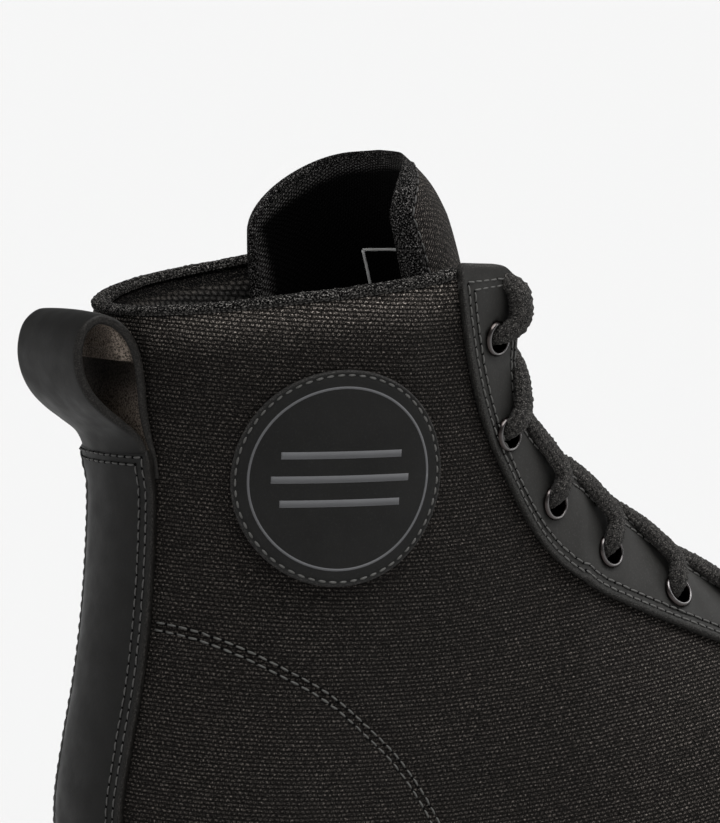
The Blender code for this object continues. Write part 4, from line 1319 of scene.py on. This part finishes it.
def tongue_points(s, inset, angle):
    """Points on a face of the tongue; inset 0 is its outer face."""
    s, angle = np.broadcast_arrays(np.asarray(s, float), angle)
    here, inward = tongue_frame(s)
    inset = np.maximum(inset, TONGUE_SECTIONS.draw(s))
    half = TONGUE_SECTIONS.half(s) - inset
    depth = TONGUE_SECTIONS.depth(s) - inset * 0.5
    lean = 1 + TONGUE_SECTIONS.twist(s) * np.sin(angle)
    into = inset + depth * (1 - np.cos(angle)) ** TONGUE_ROUNDNESS * lean
    x, z = np.moveaxis(here + inward * into[..., None], -1, 0)
    return np.stack([x, FOOT.axis(here[..., 0]) + half * np.sin(angle), z], -1)


def tongue_stop(angle):
    """The station at which each column of the tongue ends."""
    dense = np.linspace(-pi / 2, pi / 2, 400)
    run = run_length(tongue_points(TONGUE_TOP, 0.0, dense))
    at = np.interp(angle, dense, run)
    corner = rounded(np.minimum(at, run[-1] - at), TONGUE_CORNER) / TONGUE_CORNER
    return TONGUE_TOP - TONGUE_CORNER_DROP / TONGUE_STEP * corner - TONGUE_LEAN * np.sin(angle)


def tongue_grid(inset, rows, angle):
    share = np.clip((rows - TONGUE_ROUND_FROM) / (TONGUE_TOP - TONGUE_ROUND_FROM), 0, 1)
    s = rows[:, None] + (tongue_stop(angle) - TONGUE_TOP)[None] * share[:, None]
    return tongue_points(s, inset, angle[None])


# Steps in from the sides of the tongue, mm, and down from its top, stations.
TONGUE_STEPS = (0.0, 0.15, 0.5, 1.0, 1.7, 2.6, 3.6)
TONGUE_LAST = (0.93, 0.86, 0.8, 0.74, 0.68, 0.62, 0.56, 0.5, 0.44, 0.38, 0.32, 0.26, 0.2, 0.14, 0.09,
               0.05, 0.02, 0.005, 0)


def make_tongue():
    """Padded tongue: canvas outside, knit inside and over the rolled edge. Also gives
    the outer face's points and directions, for its seam."""
    count, columns = TONGUE_MESH
    angle = (border(columns, 90.0, TONGUE_STEPS) - 0.5) * pi
    rows = np.concatenate([np.linspace(0, TONGUE_TOP - 1, count), TONGUE_TOP - np.array(TONGUE_LAST)])
    outer, inner = tongue_grid(0.0, rows, angle), tongue_grid(TONGUE, rows, angle)
    run = run_length(outer)
    column = run_length(outer.transpose(1, 0, 2)).T
    side_gap, top_gap = np.minimum(run, run[:, -1:] - run), column[-1] - column
    seam_gap = np.minimum(side_gap, top_gap)
    gap = np.minimum(seam_gap, column + 0.4)
    close = (rounded(gap, TONGUE_RIM) / TONGUE_RIM)[..., None]
    waves = np.sin(np.linspace(0, 34, len(rows)))[:, None]
    puff = TONGUE_WAVE * waves * ease(0, 4, 12 - rows[:, None]) * ease(4, 10, gap)
    through = outer - inner
    outer, inner = (outer - through / 2 * close + through / TONGUE * puff[..., None],
                    inner + through / 2 * close)
    cloth = np.stack([run - run[:, [len(angle) // 2]], column], -1)
    piece = Piece()
    rim_tone = 1 - ease(TONGUE_SEAM - 0.7, TONGUE_SEAM - 0.1, seam_gap)
    # The tongue's canvas takes tone 0.22 all over: painted light where it faces the front light; by the
    # seam tone rises to 1 for the knit rim's tufts.
    out = piece.add(outer, cloth, 0.22 + 0.78 * rim_tone)
    into = piece.add(inner, cloth, 1 - ease(1.0, 7.0, seam_gap))
    piece.skin(into, 1)
    rolled = np.minimum(seam_gap[:-1, :-1], seam_gap[1:, 1:]) < TONGUE_SEAM
    for k, knitted in enumerate(rolled.astype(int)):
        piece.quads(out[k], out[k + 1], knitted)
    piece.rim(out, into, 1)
    face = np.concatenate([outer, outer - inner], -1)
    return piece.make("tongue_padded", canvas, soft_knit), face, side_gap, top_gap, rows


def tongue_edge_line(inset, face, side_gap, top_gap, rows):
    """A line round the sides and top of the tongue's outer face, and its normals."""
    half = face.shape[1] // 2
    left, right, top = [], [], []
    for k in range(np.searchsorted(rows, 9.0), len(rows)):
        for side, found in ((slice(0, half), left), (slice(-1, half, -1), right)):
            gaps = side_gap[k, side]
            if top_gap[k, side][np.searchsorted(gaps, inset)] >= inset:
                found.append(along(inset, gaps, face[k, side]))
    for j in range(face.shape[1]):
        gaps = top_gap[::-1, j]
        if side_gap[-1 - np.searchsorted(gaps, inset), j] >= inset:
            top.append(along(inset, gaps, face[::-1, j]))
    line = np.array(left + top + right[::-1])
    run = run_length(line[:, :3])
    points = resample(line[:, :3], TONGUE_SEAM_STEP)
    return points, unit(along(np.linspace(0, run[-1], len(points)), run, line[:, 3:]))


tongue, *tongue_faces = make_tongue()
tongue_seam = Seam("tongue_stitches")
tongue_seam.sew(*tongue_edge_line(TONGUE_SEAM + 0.4, *tongue_faces), 2.9, 2.2, 0.5, 0.4)
tongue_seam.make(dark_thread, "canvas")


# The label inside the tongue: half its width, its height, half the width of its lines,
# how far they stand out, and the station of its top.
LABEL_HALF, LABEL_HEIGHT, LABEL_LINE, LABEL_RISE, LABEL_TOP = 15.7, 40.0, 0.30, 0.12, 12.36
LABEL_RULE_HALF, LABEL_RULE_DOWN = 6.7, 9.5


def make_label():
    """A bare frame printed inside the tongue: an outline and a rule, no letters."""
    piece = Piece()

    def bar(start, end):
        start, end = np.array(start, float), np.array(end, float)
        way = unit(end - start)
        side = np.array([-way[1], way[0]]) * LABEL_LINE
        track = start + (end - start) * np.linspace(0, 1, 40)[:, None]
        across, down = np.moveaxis(np.stack([track - side, track + side]), -1, 0)
        s = LABEL_TOP - down / TONGUE_STEP
        angle = np.arcsin(np.clip(across / (TONGUE_SECTIONS.half(s) - TONGUE), -1, 1))
        low, high = (piece.add(tongue_points(s, TONGUE + rise, angle)) for rise in (0.0, LABEL_RISE))
        piece.skin(low)
        piece.skin(high)
        piece.rim(low, high)

    for down in (0.0, LABEL_HEIGHT):
        bar((-LABEL_HALF, down), (LABEL_HALF, down))
    for across in (-LABEL_HALF, LABEL_HALF):
        bar((across, 0.0), (across, LABEL_HEIGHT))
    bar((-LABEL_RULE_HALF, LABEL_RULE_DOWN), (LABEL_RULE_HALF, LABEL_RULE_DOWN))
    return piece.make("tongue_label", label_white)


label = make_label()


# --- Heel stay ---------------------------------------------------------------
def heel_points(y, z):
    """Points on the back of the form."""
    width = form_width(20.0, z, np.where(y < 0, -1, 1))
    x = SHAFT.back(z) + SHAFT.length(z) * (1 - np.sqrt(1 - (y / width) ** 2))
    return np.stack([x, y, z], -1)


def stay_lift(z):
    """The stay rides over the ends of the pull loop."""
    return STAY_LIFT * ease(121.0, 129.0, z)


def make_stay():
    """Leather strip up the heel, swollen between its seams and tucked in at its top."""
    low = float(FOOT.feather(0)) + 1.0
    rows, columns = STAY_MESH
    z = low + (STAY_TOP - low) * border(rows, STAY_TOP - low, CUT_STEPS)
    y = (border(columns, 2 * STAY_HALF, CUT_STEPS) - 0.5) * 2 * STAY_HALF
    z, y = np.meshgrid(z, y, indexing="ij")
    down = STAY_TOP - z
    y = y * (1 - 0.06 * (1 - ease(0.0, 2.5, down)))
    form = heel_points(y, z)
    normals = outward(form)
    side = STAY_HALF - np.abs(y)
    groove = STAY_GROOVE * hump(np.minimum(side, down) - SEAM_INSET - 0.8, 1.1)
    swell = STAY_SWELL * ease(3, 9, side) * ease(3, 9, down)
    tuck = 0.9 * (1 - ease(0.0, 1.0, down))
    top = LAP_GAP + STAY_LEATHER + stay_lift(z) - rounded(side, EDGE_ROUND) - groove + swell - tuck
    under = 0.25 + 0.6 * stay_lift(z)
    return shell("heel_stay_leather", (strap_leather,), form + normals * top[..., None],
                 form + normals * under[..., None], np.stack([y, z], -1), 1 - ease(0.15, 1.0, side))


stay = make_stay()
stay_seam = Seam("heel_stay_stitches")


def sew_stay(y, z, height, *size):
    """Stitches along a line of the stay, at places across and up the heel."""
    line = heel_points(y, z)
    stay_seam.sew(*on_form(line, LAP_GAP + STAY_LEATHER + height + stay_lift(z)), 2.45, 2.0, *size)


for inset in (SEAM_INSET, SEAM_INSET + SEAM_GAP):
    z = np.linspace(float(FOOT.feather(0)) + 3.0, STAY_TOP - inset, 120)
    for side in (-1, 1):
        sew_stay(np.full_like(z, side * (STAY_HALF - inset)), z, -0.04, 0.47, 0.34, -0.07)
    y = np.linspace(-STAY_HALF + inset, STAY_HALF - inset, 40)
    sew_stay(y, np.full_like(y, STAY_TOP - inset), 0.10)
stay_seam.make(dark_thread, "leather")


# --- Pull loop ---------------------------------------------------------------
# The middle of the strap from the foot of its inner leg, over the top and down: x, z,
# thickness, how far its edges curve forward with the heel, and half its width.
LOOP = np.array((
    (9.5, 124.6, 0.8, 3.3, 15.4), (9.1, 129.5, 1.0, 3.2, 15.2), (8.7, 133.5, 1.6, 2.9, 14.7),
    (8.6, 139.5, 2.1, 2.2, 14.1), (8.7, 146.0, 2.2, 1.5, 14.0), (8.3, 151.0, 2.2, 1.0, 14.0),
    (6.6, 155.9, 2.2, 0.6, 14.0), (3.4, 159.2, 2.2, 0.2, 14.0), (-0.4, 160.3, 2.2, 0.0, 14.0),
    (-3.8, 158.2, 2.2, 0.0, 14.0), (-5.4, 153.7, 2.2, 0.0, 14.0), (-4.8, 148.0, 2.2, 0.0, 14.0),
    (-2.6, 143.4, 2.2, 0.3, 14.0), (0.3, 139.9, 2.1, 1.0, 14.1), (3.3, 136.9, 1.8, 2.0, 14.3),
    (6.0, 133.9, 1.4, 2.9, 14.5), (7.3, 130.6, 1.2, 3.3, 14.5), (7.9, 127.0, 1.0, 3.3, 14.4)))


def make_loop():
    """Leather strap, suede inside, bowed across and folded into a ledge at its end."""
    rows, columns = LOOP_MESH
    run = run_length(LOOP[:, :2])
    at = np.linspace(0, run[-1], rows)
    x, z, thick, curve, wide = (smooth_curve(run, column)(at)[:, None] for column in LOOP.T)
    way = np.concatenate([np.gradient(x, at, axis=0), np.gradient(z, at, axis=0)], 1)
    way = way / np.hypot(way[:, :1], way[:, 1:])
    y = (border(columns, 2 * LOOP_HALF, CUT_STEPS) - 0.5) * 2 * wide
    side, at = wide - np.abs(y), at[:, None]
    half = thick / 2 * (1 - 0.85 * rounded(side, 0.8) / 0.8)
    free = ease(20, 32, at) * (1 - ease(run[-1] - 22, run[-1] - 10, at))
    bow = LOOP_BOW * (1 - (y / LOOP_HALF) ** 2) * free
    ledge = LOOP_LEDGE * ease(26.4, 27.2, at) * (1 - ease(30.5, 38.0, at)) * ease(0.6, 2.5, side)
    outer, inner = (np.stack([x + way[:, 1:] * reach + curve * (y / LOOP_HALF) ** 2, y,
                              z - way[:, :1] * reach], -1) for reach in (half + bow, -half + bow - ledge))
    cut = 1 - ease(0.3, 1.1, side)
    # below paints shade on the suede: darkest just under the strap's fold, a little lighter further down.
    below = (1 - ease(26.0, 27.0, at)) * (0.55 + 0.45 * ease(14, 24, at))
    return shell("pull_loop_strap", (strap_leather, suede), outer, inner,
                 np.stack(np.broadcast_arrays(at, y), -1), cut, 1, np.maximum(below, cut), 4)


loop = make_loop()


# --- Badge -------------------------------------------------------------------
def badge_points(radius, angle):
    """Points on the form at a distance round the badge's middle."""
    x = np.linspace(12, 84, 361)
    run = run_length(side_point(x, np.full_like(x, BADGE_Z), -1))
    across = np.interp(np.interp(BADGE_X, x, run) + radius * np.cos(angle), run, x)
    return side_point(across, BADGE_Z + radius * np.sin(angle), -1)


def badge_height(edge):
    """Height of the badge's face at a distance from its edge."""
    groove, rim = BADGE_GROOVE * hump(edge - BADGE_SEAM, 0.4), 0.12 * hump(edge - 0.45, 0.35)
    return LAP_GAP + LEATHER - rounded(edge, EDGE_ROUND) - groove + rim


# Steps in from the badge's edge at which it has its rings.
BADGE_STEPS = (*CUT_STEPS[:-1], 0.9, 1.15, 1.4, 1.65, 1.9, 2.2, 2.7, *np.linspace(3.6, 24.0, 22))


def make_badge():
    edge, angle = np.meshgrid(BADGE_STEPS, np.linspace(0, tau, 193)[:-1], indexing="ij")
    radius = BADGE_RADIUS - edge
    form = badge_points(radius, angle)
    cloth = np.stack([radius * np.cos(angle), radius * np.sin(angle)], -1)
    piece = Piece()
    out = piece.add(on_form(form, badge_height(edge))[0], cloth, 1 - ease(0.15, 0.9, edge))
    into = piece.add(on_form(form, 0.2)[0], cloth)
    for index in (out, into):
        piece.skin(index, wrap=True)
        piece.fan(index[-1])
    piece.quads(np.append(out[0], out[0][0]), np.append(into[0], into[0][0]))
    return piece.make("badge_leather", badge_leather)


badge = make_badge()
badge_seam = Seam("badge_stitches")
ring_line = badge_points(BADGE_RADIUS - BADGE_SEAM, np.linspace(0, tau, 241))
badge_seam.sew(*on_form(ring_line, LAP_GAP + LEATHER - 0.30), 2.45, 1.75, 0.6, 0.42)
badge_seam.make(thread, "leather")


# The print: how far it stands out and goes in, its ring, and its bars' heights and half
# lengths.
PRINT_RISE, PRINT_DEPTH = 0.035, 0.15
PRINT_RING, PRINT_RING_WIDTH = 20.6, 0.55
PRINT_BARS = ((5.4, 13.5), (0.0, 15.5), (-5.4, 13.5))
PRINT_BAR_HALF = 0.8


def make_print():
    """A plain ring and three bars printed on the badge."""
    turn = np.linspace(0, tau, 181)
    radius, angle = np.meshgrid((PRINT_RING - PRINT_RING_WIDTH, PRINT_RING), turn, indexing="ij")
    patches = [(radius * np.cos(angle), radius * np.sin(angle))]
    for height, reach in PRINT_BARS:
        patches.append(np.meshgrid(np.linspace(-reach, reach, 60),
                                   (height - PRINT_BAR_HALF, height + PRINT_BAR_HALF)))
    piece = Piece()
    level_up = LAP_GAP + LEATHER + PRINT_RISE
    for x, y in patches:
        form = badge_points(np.hypot(x, y), np.arctan2(y, x))
        out, into = (piece.add(on_form(form, height)[0]) for height in (level_up, level_up - PRINT_DEPTH))
        piece.skin(out)
        piece.skin(into)
        piece.rim(out, into)
    return piece.make("badge_print", print_grey)


badge_print = make_print()


# --- Laces -------------------------------------------------------------------
def over_tongue(p, clear):
    """Lift a point off the tongue until it clears its face, and the direction of lift."""
    s = np.linspace(0, TONGUE_TOP, 281)
    here, inward = tongue_frame(s)
    offset = np.array([p[0], p[2]]) - here
    k = int(np.abs(offset[:, 0] * inward[:, 1] - offset[:, 1] * inward[:, 0]).argmin())
    across = np.clip((p[1] - FOOT.axis(p[0])) / TONGUE_SECTIONS.half(s[k]), -0.95, 0.95)
    fall = TONGUE_SECTIONS.depth(s[k]) * (1 - np.sqrt(1 - across ** 2)) ** TONGUE_ROUNDNESS
    lift = max(0.0, np.dot(offset[k], inward[k]) - fall + clear * (1 + across ** 2))
    up = np.array([-inward[k, 0], 0, -inward[k, 1]])
    return p + up * lift, up


class Edge:
    """The facing's front edge on one side, by distance down from the collar."""

    def __init__(self, side):
        rows = fine_rows(THROAT, 0.25)[::-1]
        self.line = np.array([throat_point(row, side) for row in rows])
        self.away = np.array([throat_point(row, side, -1.0) for row in rows]) - self.line
        self.run = run_length(self.line)

    def beside(self, p):
        return float(self.run[np.linalg.norm(self.line - p, axis=1).argmin()])

    def at(self, run, past, height):
        """A point past the edge, towards the opening, and above the form."""
        point = along(run, self.run, self.line)
        normal = outward(point)
        return point + unit(along(run, self.run, self.away)) * past + normal * height, normal


# The lace from an eyelet up over the facing: distance up from the eyelet, past the
# facing's edge and above the form, half its width and half its thickness.
LACE_LONG = ((4.5, -6.0, 4.1, 2.6, 1.8), (9.5, -2.6, 3.9, 2.5, 1.65), (14.0, -0.3, 3.0, 2.35, 1.55),
             (17.5, 1.4, 1.6, 2.3, 1.5), (20.5, 3.6, -1.0, 2.3, 1.5))
LACE_SHORT = ((5.5, -3.9, 4.2, 2.7, 1.8), (8.5, -1.3, 3.9, 2.6, 1.7), (11.0, 0.9, 2.5, 2.4, 1.6),
              (12.5, 4.5, -1.2, 2.3, 1.5))
# The top strand: distance down from the collar, past the edge, above the form, raised,
# half its width and half its thickness.
LACE_TOP = ((9.8, -5.0, 4.6, 0.0, 3.1, 2.3), (6.0, -3.9, 4.7, -0.2, 3.3, 2.5),
            (3.2, -3.4, 4.2, -0.5, 3.0, 2.2), (1.4, -3.2, 2.6, -0.6, 2.5, 1.8),
            (0.8, -3.4, -0.4, -0.4, 2.3, 1.7), (1.8, -3.6, -3.6, -0.4, 2.2, 1.7),
            (6.0, -3.8, -6.0, 0.0, 2.3, 1.7), (13.0, -4.0, -6.6, 0.0, 2.3, 1.7))
# Through an eyelet: above the form, on towards the edge, half its width and thickness.
LACE_HOLE = ((-5.5, -0.6, 1.6, 1.6), (0.6, 0.5, 2.1, 1.9), (3.9, 2.4, 2.5, 1.9))


def lace_strand(start, edges, hole):
    """Half of the lace, from the lowest eyelet of one side to a top one."""
    path = []
    side = start
    for number in range(EYELETS, 0, -1):
        p, normal = hole[side, number]
        edge = edges[side]
        beside = edge.beside(p)
        way = unit(edge.at(beside - 7.0, -2.0, 0.0)[0] - p)
        path += [(p + normal * height + way * on, normal, *half) for height, on, *half in LACE_HOLE]
        if number == 1:
            for down, past, height, raised, *half in LACE_TOP:
                middle, up = edge.at(down, past, height)
                path.append((middle + (0, 0, raised), up, *half))
            continue
        route = LACE_SHORT if number == 2 else LACE_LONG
        for up_it, past, height, *half in route[:-1]:
            path.append((*edge.at(beside - up_it, past, height), *half))
        lead, _ = edge.at(beside - route[-1][0], *route[-1][1:3])
        far_edge = edges[-side]
        far = far_edge.beside(hole[-side, number - 1][0])
        last, far_up = far_edge.at(far - 3.0, 1.0, -WALL - 1.2)
        for share in (0.0, 0.2, 0.4, 0.6, 0.8):
            over = LACE_CROSS * hump(share - 0.45, 0.26) * (1 if side < 0 else -0.1)
            path.append((*over_tongue(lead + (last - lead) * share, LACE_CLEAR + over), 2.45, 1.55))
        path.append((last, far_up, 2.4, 1.5))
        path.append((far_edge.at(far - 1.5, -4.5, -WALL - 2.6)[0], far_up, 2.0, 1.5))
        side = -side
    return path


def lace_points():
    """Rows of the whole lace, end to end: its middle, up direction and half-sizes."""
    edges = {side: Edge(side) for side in (-1, 1)}
    hole = {(side, number): (p, normal) for side, number, p, normal in eyelet_list}
    first, second = (lace_strand(side, edges, hole) for side in (-1, 1))
    bar = over_tongue(first[0][0] + (second[0][0] - first[0][0]) * 0.5, 2.1)
    return np.array([np.hstack(row) for row in (*first[::-1], (*bar, 2.3, 1.6), *second)])


def make_laces():
    """One braided cord, smoothed along its route and turned to lie flat."""
    rows = lace_points()
    run = run_length(rows[:, :3])
    fine = np.linspace(0, run[-1], int(run[-1] / 0.25))
    rows = np.stack([smooth_curve(run, column)(fine) for column in rows.T], -1)
    even = run_length(rows[:, :3])
    at = np.linspace(0, even[-1], int(even[-1] / LACE_STEP))
    rows = along(at, even, rows)
    middle, up, half = rows[:, :3], rows[:, 3:6], rows[:, 6:]
    kernel = np.hanning(13)
    for k in range(3):
        middle[6:-6, k] = np.convolve(middle[:, k], kernel / kernel.sum(), "valid")
    ahead = unit(np.gradient(middle, axis=0))
    out = unit(np.cross(ahead, up))
    for k in range(1, len(out)):
        agree = 1 if np.dot(out[k], out[k - 1]) > 0 else -1
        blended = out[k] * 0.12 * agree + out[k - 1] * (0.88 if agree > 0 else 1.0)
        out[k] = unit(blended - np.dot(blended, ahead[k]) * ahead[k])
    angle = turns(LACE_SIDES)
    turn = tau / BRAID * at[:, None]
    braid = 1 + BRAID_SWELL * np.cos(4 * angle + turn) * np.cos(4 * angle - turn)
    lump = 1 + 0.02 * rng.normal(0, 1, (len(at), 1)) + 0.035 * rng.normal(0, 1, braid.shape)
    # The last argument is the tone that paints the braid's ridges lighter and its grooves darker.
    return make_tube("laces", cord_black, at, middle, out, np.cross(out, ahead), half, braid * lump,
                     1.5, 2.2, (braid - 1 + BRAID_SWELL) / (2 * BRAID_SWELL))


laces = make_laces()


# --- Insole and outsole ------------------------------------------------------
def make_stack(name, loops, look, smooth_angle):
    """Solid through loops of points, from its underside to its top."""
    piece = Piece()
    piece.tube(loops)
    return piece.make(name, look, smooth_angle=smooth_angle)


# From the insole's underside to its top: how far in, and height over INSOLE_BASE.
INSOLE_STEPS = ((0.5, 0.1), (0.0, INSOLE - 1.0), (0.25, INSOLE - 0.4), (0.8, INSOLE - 0.08),
                (1.6, INSOLE))
INSOLE_BASE = 0.2       # above the feather line


def make_insole():
    loops = []
    for inset, rise in INSOLE_STEPS:
        loops.append(foot_loop(-WALL - INSOLE_INSET - inset,
                               lambda x: FOOT.feather(x) + INSOLE_BASE + rise, INSOLE_COLUMNS))
    return make_stack("insole_pad", loops, soft_knit, 50)


# From the sole's underside to its top: out from its ledge, share of the way up, and
# added height.
SOLE_STEPS = ((-2.2, 0.0, 0.0), (-1.6, 0.0, 0.05), (-1.0, 0.0, 0.35), (-0.5, 0.0, 1.0),
              (-0.2, 0.0, 2.0), (0.0, 0.25, 1.6), (0.3, 0.45, 1.2), (0.55, 0.6, 0.6),
              (0.6, 0.74, 0.0), (0.2, 0.76, 0.0), (0.15, 0.80, 0.0), (0.5, 0.82, 0.0),
              (0.45, 0.9, 0.0), (0.1, 0.955, 0.0), (-0.5, 0.985, 0.0), (-1.2, 1.0, 0.0))


def make_outsole():
    """Rubber unit with a soft-edged wall, a cut arch and lugs between chevron grooves."""
    loops = []
    for out, share, add in SOLE_STEPS:
        loops.append(foot_loop(LEDGE + out, lambda x: (1 - share) * ground(x)
                               + share * (FOOT.feather(x) - GAP) + add, SOLE_COLUMNS))
    sole = make_stack("outsole_rubber", loops, rubber, None)
    bm = bmesh.new()
    arch = np.array(ARCH, float)
    add_prism(bm, *(np.insert(arch, 1, y, axis=1) for y in (-ARCH_HALF, ARCH_HALF)))
    trail = CHEVRON * GROOVE_HALF / SOLE_HALF
    corners = np.array([(-trail, -GROOVE_HALF), (0, 0), (-trail, GROOVE_HALF),
                        (GROOVE_WIDTH - trail, GROOVE_HALF), (GROOVE_WIDTH, 0),
                        (GROOVE_WIDTH - trail, -GROOVE_HALF)])
    for x in HEEL_GROOVES + FORE_GROOVES:
        outline = corners + (x, 0)
        top = float(ground(x)) + GROOVE_DEPTH
        add_prism(bm, *(np.insert(outline, 2, z, axis=1) for z in (GROOVE_LOW, top)))
    cut_with(bm, sole)
    sole.data.shade_smooth()
    sole.data.set_sharp_from_angle(angle=radians(35))
    return sole


insole = make_insole()
outsole = make_outsole()


# --- What each piece stands for ----------------------------------------------
eyelet_nodes = [f"eyelet_{name}_{k}" for name in ("lateral", "medial") for k in range(1, EYELETS + 1)]
for piece, slot, *nodes in ((upper, "canvas", "upper"),
                            (lining, "lining"),
                            (facing, "leather", "eyestay"),
                            (rings, "eyelet_metal", *eyelet_nodes),
                            (binding, "lining"),
                            (tongue, "canvas", "tongue"),
                            (label, "lining"),
                            (stay, "leather", "heel_stay"),
                            (loop, "leather", "pull_loop"),
                            (badge, "leather", "badge"),
                            (badge_print, "leather"),
                            (laces, "lace_cord", "lace"),
                            (insole, "lining", "insole"),
                            (outsole, "rubber", "outsole")):
    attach(piece, "root")
    if nodes:
        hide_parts(*nodes)


# --- Floor, light and camera -------------------------------------------------
FLOOR_HALF = 80.0       # metres
VIEW_AZIMUTH, VIEW_HEIGHT, VIEW_DISTANCE = -31.0, 4.6, 1250.0
VIEW_TARGET = (74.7, 0.0, 136.0)
VIEW_LENS = 238.4       # focal length for a picture 36 mm high
HORIZON_LIGHT, SKY_LIGHT = 0.92, 0.23


def make_floor():
    """Plain pale floor, wide enough to fill the view."""
    mesh = bpy.data.meshes.new("floor")
    corners = [(-1, -1, 0), (1, -1, 0), (1, 1, 0), (-1, 1, 0)]
    mesh.from_pydata((np.array(corners) * FLOOR_HALF).tolist(), [], [(0, 1, 2, 3)])
    mesh.materials.append(plain_look("floor_paper", (0.662, 0.662, 0.662), 0.0, 0.9, 0.0, 40.0, 0.0))
    return linked("floor", mesh)


def direction(azimuth, elevation):
    """Unit vector towards a place round the boot; azimuth 0 is square on, -Y."""
    turn, rise = radians(azimuth), radians(elevation)
    return Vector((sin(turn) * cos(rise), -cos(turn) * cos(rise), sin(rise)))


def aim(made, back):
    made.rotation_euler = back.to_track_quat("Z", "Y").to_euler()


def light(name, azimuth, elevation, strength, angle):
    """Large soft light far away; angle is how wide it looks."""
    data = bpy.data.lights.new(name, "SUN")
    data.energy = strength
    data.angle = radians(angle)
    made = linked(name, data)
    back = direction(azimuth, elevation)
    made.location = back * 3.0
    aim(made, back)


def studio():
    """Even pale light all round, brighter near the horizon where the floor ends."""
    world = bpy.data.worlds.new("studio")
    world.use_nodes = True
    tree = world.node_tree
    split = tree.nodes.new("ShaderNodeSeparateXYZ")
    tree.links.new(tree.nodes.new("ShaderNodeTexCoord").outputs["Generated"], split.inputs[0])
    fade = tree.nodes.new("ShaderNodeMapRange")
    tree.links.new(split.outputs["Z"], fade.inputs["Value"])
    for name, number in (("From Min", 0.05), ("From Max", 0.30),
                         ("To Min", HORIZON_LIGHT), ("To Max", SKY_LIGHT)):
        fade.inputs[name].default_value = number
    background = tree.nodes["Background"].inputs
    tree.links.new(fade.outputs[0], background["Strength"])
    background["Color"].default_value = (1, 1, 1, 1)
    return world


floor = make_floor()
light("overhead", 10, 68, 3.15, 42)
light("front", 75, 34, 1.06, 40)
light("left_wall", -118, 20, 0.22, 28)

scene = bpy.context.scene
scene.world = studio()
scene.view_settings.view_transform = "Standard"

camera_data = bpy.data.cameras.new("camera")
camera_data.sensor_fit = "VERTICAL"
camera_data.sensor_height = 36.0
camera_data.lens = VIEW_LENS
camera_data.clip_start = 0.01
camera = linked("camera", camera_data)
back = direction(VIEW_AZIMUTH, VIEW_HEIGHT)
camera.location = Vector(place(VIEW_TARGET)) + back * VIEW_DISTANCE * MM
aim(camera, back)
scene.camera = camera
